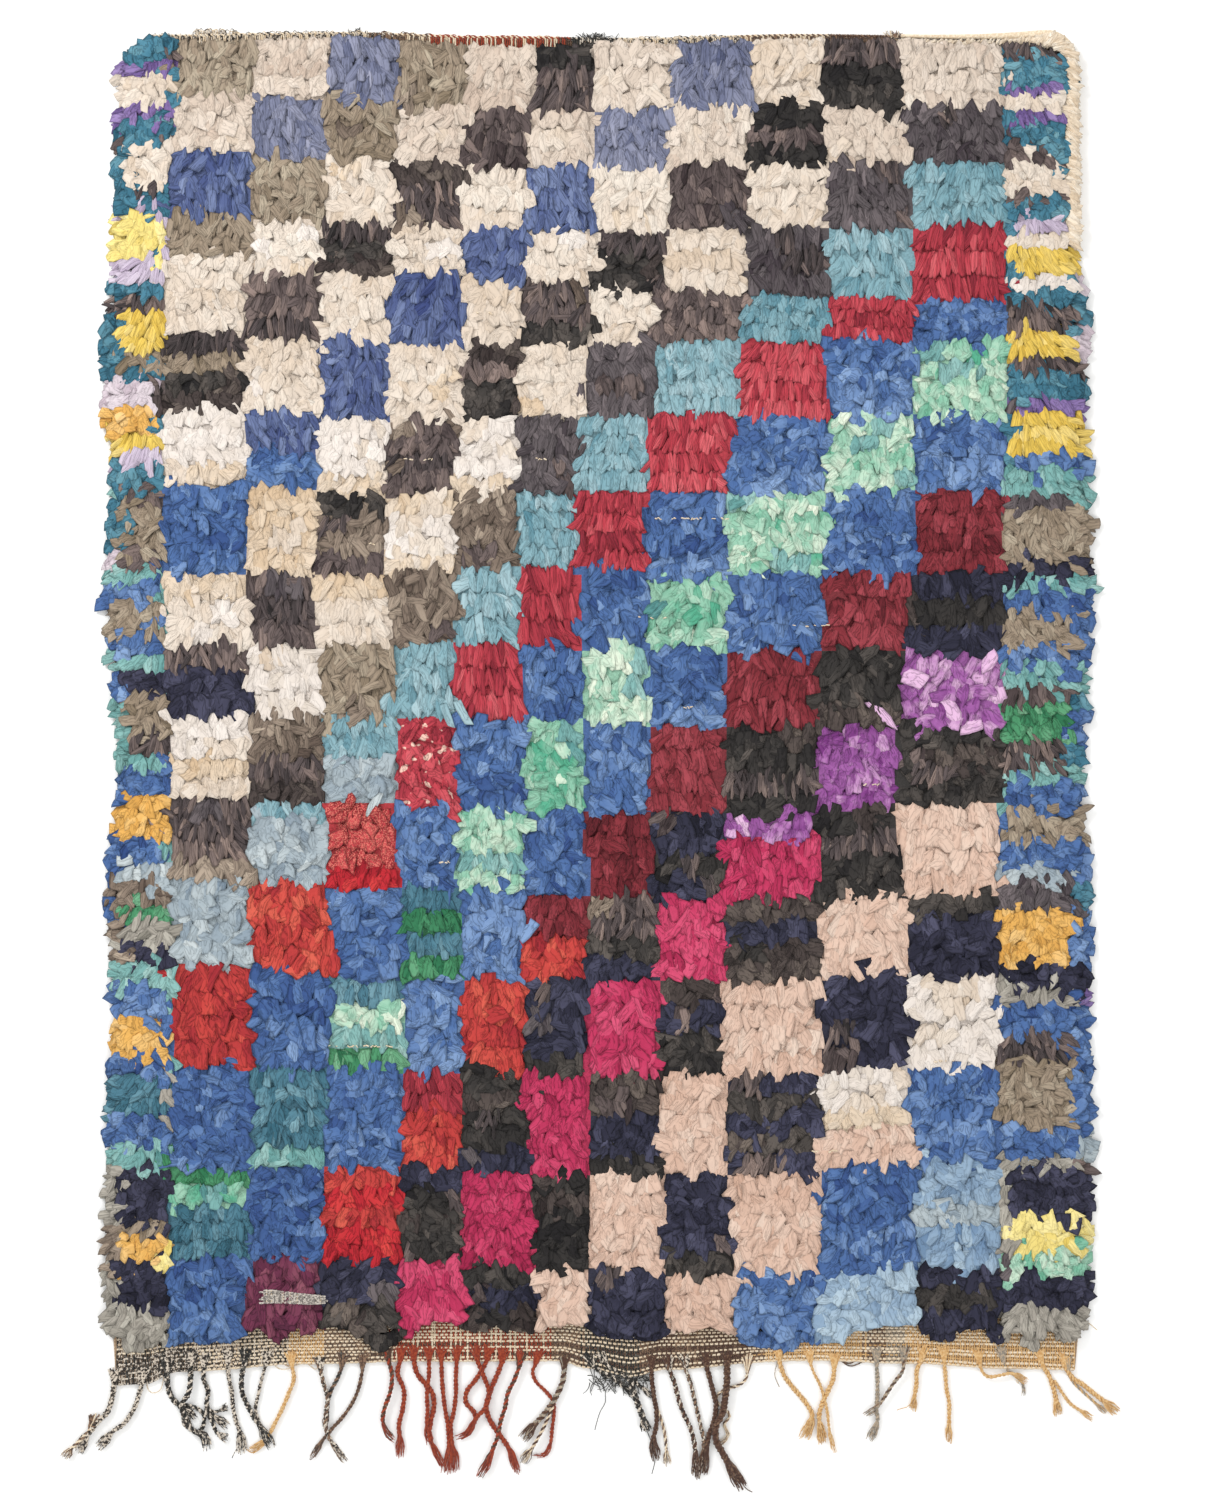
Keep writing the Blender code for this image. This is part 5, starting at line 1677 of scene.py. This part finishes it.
def make_mends(chance):
    """The darn and the wefts that show between knots that wear has thinned, on top of the pile."""
    strands = []
    for bare in BARE_WEFTS:
        x, end, y = bare.x * MM, (bare.x + bare.length) * MM, bare.y * MM
        while x < end:
            length, radius = chance.uniform(0.002, 0.006), chance.uniform(0.0007, 0.0013)
            low, high = y + chance.uniform(-0.0016, 0.0016), y + chance.uniform(-0.0016, 0.0016)
            points = [(x, low, BARE_HEIGHT - 0.0015), (x + length * 0.3, low, BARE_HEIGHT)]
            points += [(x + length * 0.7, high, BARE_HEIGHT), (x + length, high, BARE_HEIGHT - 0.0015)]
            strands.append(("ecru", points, [radius] * 4))
            x += length + chance.choice((0.0005, 0.001, 0.003, 0.009, 0.016))
    places = spread(DARN_LEFT, DARN_RIGHT, WARP_PITCH)
    rows = spread(DARN_LOW, DARN_HIGH, 0.0029)

    def darn_place(x, row):
        share = (x - DARN_LEFT) / (DARN_RIGHT - DARN_LEFT)
        narrowed = (1.0 - 0.45 * share) * (rows[row] - DARN_LOW) + 0.003 * share
        return DARN_LOW + narrowed + 0.0018 * math.sin(46 * x)

    for row in range(len(rows)):
        points = []
        for number, x in enumerate(places[chance.randrange(3) : len(places) - chance.randrange(4)]):
            side = 1 if (number + row) % 2 else -1
            points.append((x, darn_place(x, row), DARN_HEIGHT + 0.0012 * side))
        strands.append(("darn", points, [chance.uniform(0.0013, 0.0018) for _ in points]))
    for number, x in enumerate(places[2:-2]):
        points = []
        for row in range(len(rows)):
            side = -1 if (number + row) % 2 else 1
            points.append((x + 0.0009 * side, darn_place(x, row), DARN_HEIGHT + 0.0012 * side))
        strands.append((chance.choice(("melange", "darn", "darn", "ecru")), points, [0.0011] * len(points)))
    return add_yarns("mends", strands, "warp_yarn")


def make_heading(chance):
    """The twined cord along the far edge: two yarns that cross over each other at every warp."""
    strands = []
    outset = HEADING_RADIUS + 0.0003
    ends = [run.start for run in HEADING_RUNS[1:]] + [HEADING_END]
    for run, end in zip(HEADING_RUNS, ends):
        for turn, kind in ((0.0, run.first), (math.pi, run.second)):
            points, radii = [], []
            for x in spread(run.start, end, TWINE_PITCH / 6):
                angle = turn + 2 * math.pi * x / TWINE_PITCH
                y = heading_edge(x) + outset + 0.0013 * math.cos(angle)
                points.append((x, y, HEADING_RADIUS + 0.0005 + 0.0013 * math.sin(angle)))
                radii.append(0.0015 * chance.uniform(0.85, 1.15))
            strands.append((kind, points, radii))
    x = HEADING_RUNS[0].start
    while x < HEADING_END:
        bare = eased(HEADING_BARE, x, "drop")
        run = run_at(HEADING_RUNS, x)
        top, bottom = heading_edge(x) + 0.0015, heading_edge(x) - bare - 0.005
        points = []
        for y in spread(bottom, top, 0.005):
            points.append((x + chance.uniform(-0.0006, 0.0006), y, 0.0046 + chance.uniform(0.0, 0.0006)))
        kind = run.second if chance.random() < 0.45 else run.first
        strands.append((kind, points, [chance.uniform(0.0011, 0.0015)] * len(points)))
        x += 0.0031 * chance.uniform(0.9, 1.1)
    for low, high, height, count, yarn in HEADING_LOOPS:
        for _ in range(count):
            x, tall = chance.uniform(low, high), height * chance.uniform(0.6, 1.2)
            wide = chance.uniform(0.002, 0.005)
            points = []
            for step in range(7):
                angle = math.radians(-60 + 300 * step / 6)
                up = 0.5 * tall * (1 + math.sin(angle))
                points.append((x + wide * math.cos(angle), heading_edge(x) + 0.002 + up, 0.003 + 0.3 * up))
            strands.append((chance.choice((yarn, yarn, "ecru")), points, [0.0007] * 7))
    for tuft in HEADING_TUFTS:
        for _ in range(tuft.count):
            x = chance.gauss(tuft.across, tuft.scatter)
            start = (x, heading_edge(x) + 0.001)
            strands.append((tuft.yarn, *loose_thread(start, chance.uniform(10, 170), tuft.length, chance)))
    for _ in range(FRAYED_ENDS):
        x = chance.uniform(FRAYED_LEFT, FRAYED_RIGHT)
        start = (x, heading_edge(x))
        strands.append(("melange", *loose_thread(start, chance.uniform(30, 150), 0.009, chance)))
    return add_yarns("heading_twine", strands, "twined_cord", "heading_cord")


def loose_thread(start, direction, length, chance, height=0.004):
    """A short loose yarn end on the floor, that sets off in a direction in degrees and curls a little."""
    points, radii = [], []
    heading = math.radians(direction)
    bend = chance.uniform(-0.5, 0.5)
    x, y = start
    for step in range(5):
        points.append((x, y, max(0.0009, height * (1 - step / 5) + chance.uniform(0.0, 0.001))))
        radii.append(0.0008 * (1 - 0.12 * step))
        x += math.cos(heading) * length / 4
        y += math.sin(heading) * length / 4
        heading += bend
    return points, radii


# The wrapped corner


def wrap_route():
    """Places along the wrap's middle, with the outward direction and fullness: far edge, corner, side."""
    thin, full = WRAP_RADIUS_THIN + 0.0003, WRAP_RADIUS + 0.0003
    centre = Vector((right_edge(TOP_Y - CORNER_RADIUS) - CORNER_RADIUS, 0.0))
    centre.y = heading_edge(centre.x) - CORNER_RADIUS
    route = []
    for x in spread(WRAP_FROM, centre.x, WRAP_STEP)[:-1]:
        share = ((x - WRAP_FROM) / (centre.x - WRAP_FROM)) ** 2
        place = Vector((x, heading_edge(x) + thin + (full - thin) * share))
        route.append((place, Vector((0.0, 1.0)), share))
    for angle in spread(90, 0, WRAP_STEP / CORNER_RADIUS * 50):
        outward = Vector((math.cos(math.radians(angle)), math.sin(math.radians(angle))))
        route.append((centre + outward * (CORNER_RADIUS + full), outward, 1.0))
    for y in spread(centre.y, TOP_Y - WRAP_LENGTH_DOWN, WRAP_STEP)[1:]:
        route.append((Vector((right_edge(y) + full, y)), Vector((1.0, 0.0)), 1.0))
    return route


def make_wrap_core():
    """The roll of cloth inside the wrap."""
    points, radii = [], []
    for place, _, share in wrap_route():
        radius = (WRAP_RADIUS_THIN + (WRAP_RADIUS - WRAP_RADIUS_THIN) * share) * 0.78
        z = 0.2 * WRAP_RADIUS_THIN + (WRAP_RADIUS * 0.80) * max(share, 0.35)
        points.append((*place, max(z, radius)))
        radii.append(radius)
    return add_yarns("wrap_core", [("ecru", points, radii)], "rag_wrap", "edge_wrap", sides=3)


def lay_wrap(basket, chance):
    """Rags wound slantwise over the roll, each from inside the rug out to the floor."""
    for place, outward, share in wrap_route():
        for _ in range(2 if share > 0.5 else 1):
            along = Vector((-outward.y, outward.x)) * chance.uniform(-0.002, 0.002)
            inward = chance.uniform(0.001, 0.005) + WRAP_SINK * max(outward.y, 0.0)
            middle = place - outward * inward + along
            yaw = math.degrees(math.atan2(outward.y, outward.x)) + 90 + chance.gauss(-36, 12)
            full = share**3
            size = (
                (0.005 + 0.005 * full) * chance.uniform(0.75, 1.25),
                (0.009 + 0.016 * full) * chance.uniform(0.85, 1.2),
                (0.003 + 0.004 * full) * chance.uniform(0.8, 1.2),
            )
            turns = (chance.gauss(-3, 5), chance.gauss(0.0, 10.0), yaw)
            top = 0.0085 + 0.0085 * full + chance.uniform(-0.001, 0.001)
            basket.lay("wrap", (*middle, top), turns, size, "pleat", chance.gauss(0.5, 0.2))


# Camera, floor and light


def make_floor():
    bm = bmesh.new()
    bmesh.ops.create_grid(bm, x_segments=1, y_segments=1, size=12.0)
    mesh = bpy.data.meshes.new("floor")
    bm.to_mesh(mesh)
    bm.free()
    material, _, shader = new_material("pale_floor")
    shader.inputs["Base Color"].default_value = FLOOR_COLOUR
    shader.inputs["Roughness"].default_value = 0.9
    shader.inputs["Specular IOR Level"].default_value = 0.1
    mesh.materials.append(material)
    floor = bpy.data.objects.new("floor", mesh)
    floor.location.z = -0.0004
    bpy.context.scene.collection.objects.link(floor)


def make_light(name, location, size, power):
    data = bpy.data.lights.new(name, "AREA")
    data.size = size
    data.energy = power
    light = bpy.data.objects.new(name, data)
    light.location = location
    light.rotation_euler = (Vector((0.0, 0.0, 0.0)) - Vector(location)).to_track_quat("-Z", "Y").to_euler()
    bpy.context.scene.collection.objects.link(light)


def make_studio():
    """A camera straight above, a wide key light from the upper left and an even sky."""
    camera = bpy.data.objects.new("camera", bpy.data.cameras.new("camera"))
    camera.data.lens = LENS_MM
    camera.data.sensor_fit = "VERTICAL"
    camera.data.sensor_height = SENSOR_MM
    camera.location = (*CAMERA_CENTRE, VIEW_HEIGHT * LENS_MM / SENSOR_MM)
    bpy.context.scene.collection.objects.link(camera)
    bpy.context.scene.camera = camera
    for light in LIGHTS:
        make_light(*light)
    world = bpy.data.worlds.new("even_sky")
    world.use_nodes = True
    world.node_tree.nodes["Background"].inputs["Color"].default_value = (1.0, 1.0, 1.0, 1.0)
    world.node_tree.nodes["Background"].inputs["Strength"].default_value = SKY_STRENGTH
    bpy.context.scene.world = world
    bpy.context.scene.view_settings.view_transform = "Standard"


# The whole rug

make_studio()
make_floor()
yarn_materials = {name: yarn_material(f"yarn_{name}", yarn) for name, yarn in YARNS.items()}
cloth = make_ground_cloth()
mat = make_pile_mat()
basket = RagBasket(random.Random(3))
lay_field(basket, random.Random(7))
lay_borders(basket, random.Random(11))
lay_rim(basket, random.Random(8))
lay_wrap(basket, random.Random(9))
lay_loose_rags(basket)
for dye in sorted(basket.rags):
    slot = "rag_wrap" if dye == "wrap" else "rag_pile"
    add_piece(f"rags_{dye}", basket.sew(dye), rag_material(f"rag_{dye}", DYES[dye]), slot)
band = make_weave_band(random.Random(13))
fringe = make_fringe(random.Random(17))
heading = make_heading(random.Random(19))
mends = make_mends(random.Random(21))
wrap_core = make_wrap_core()
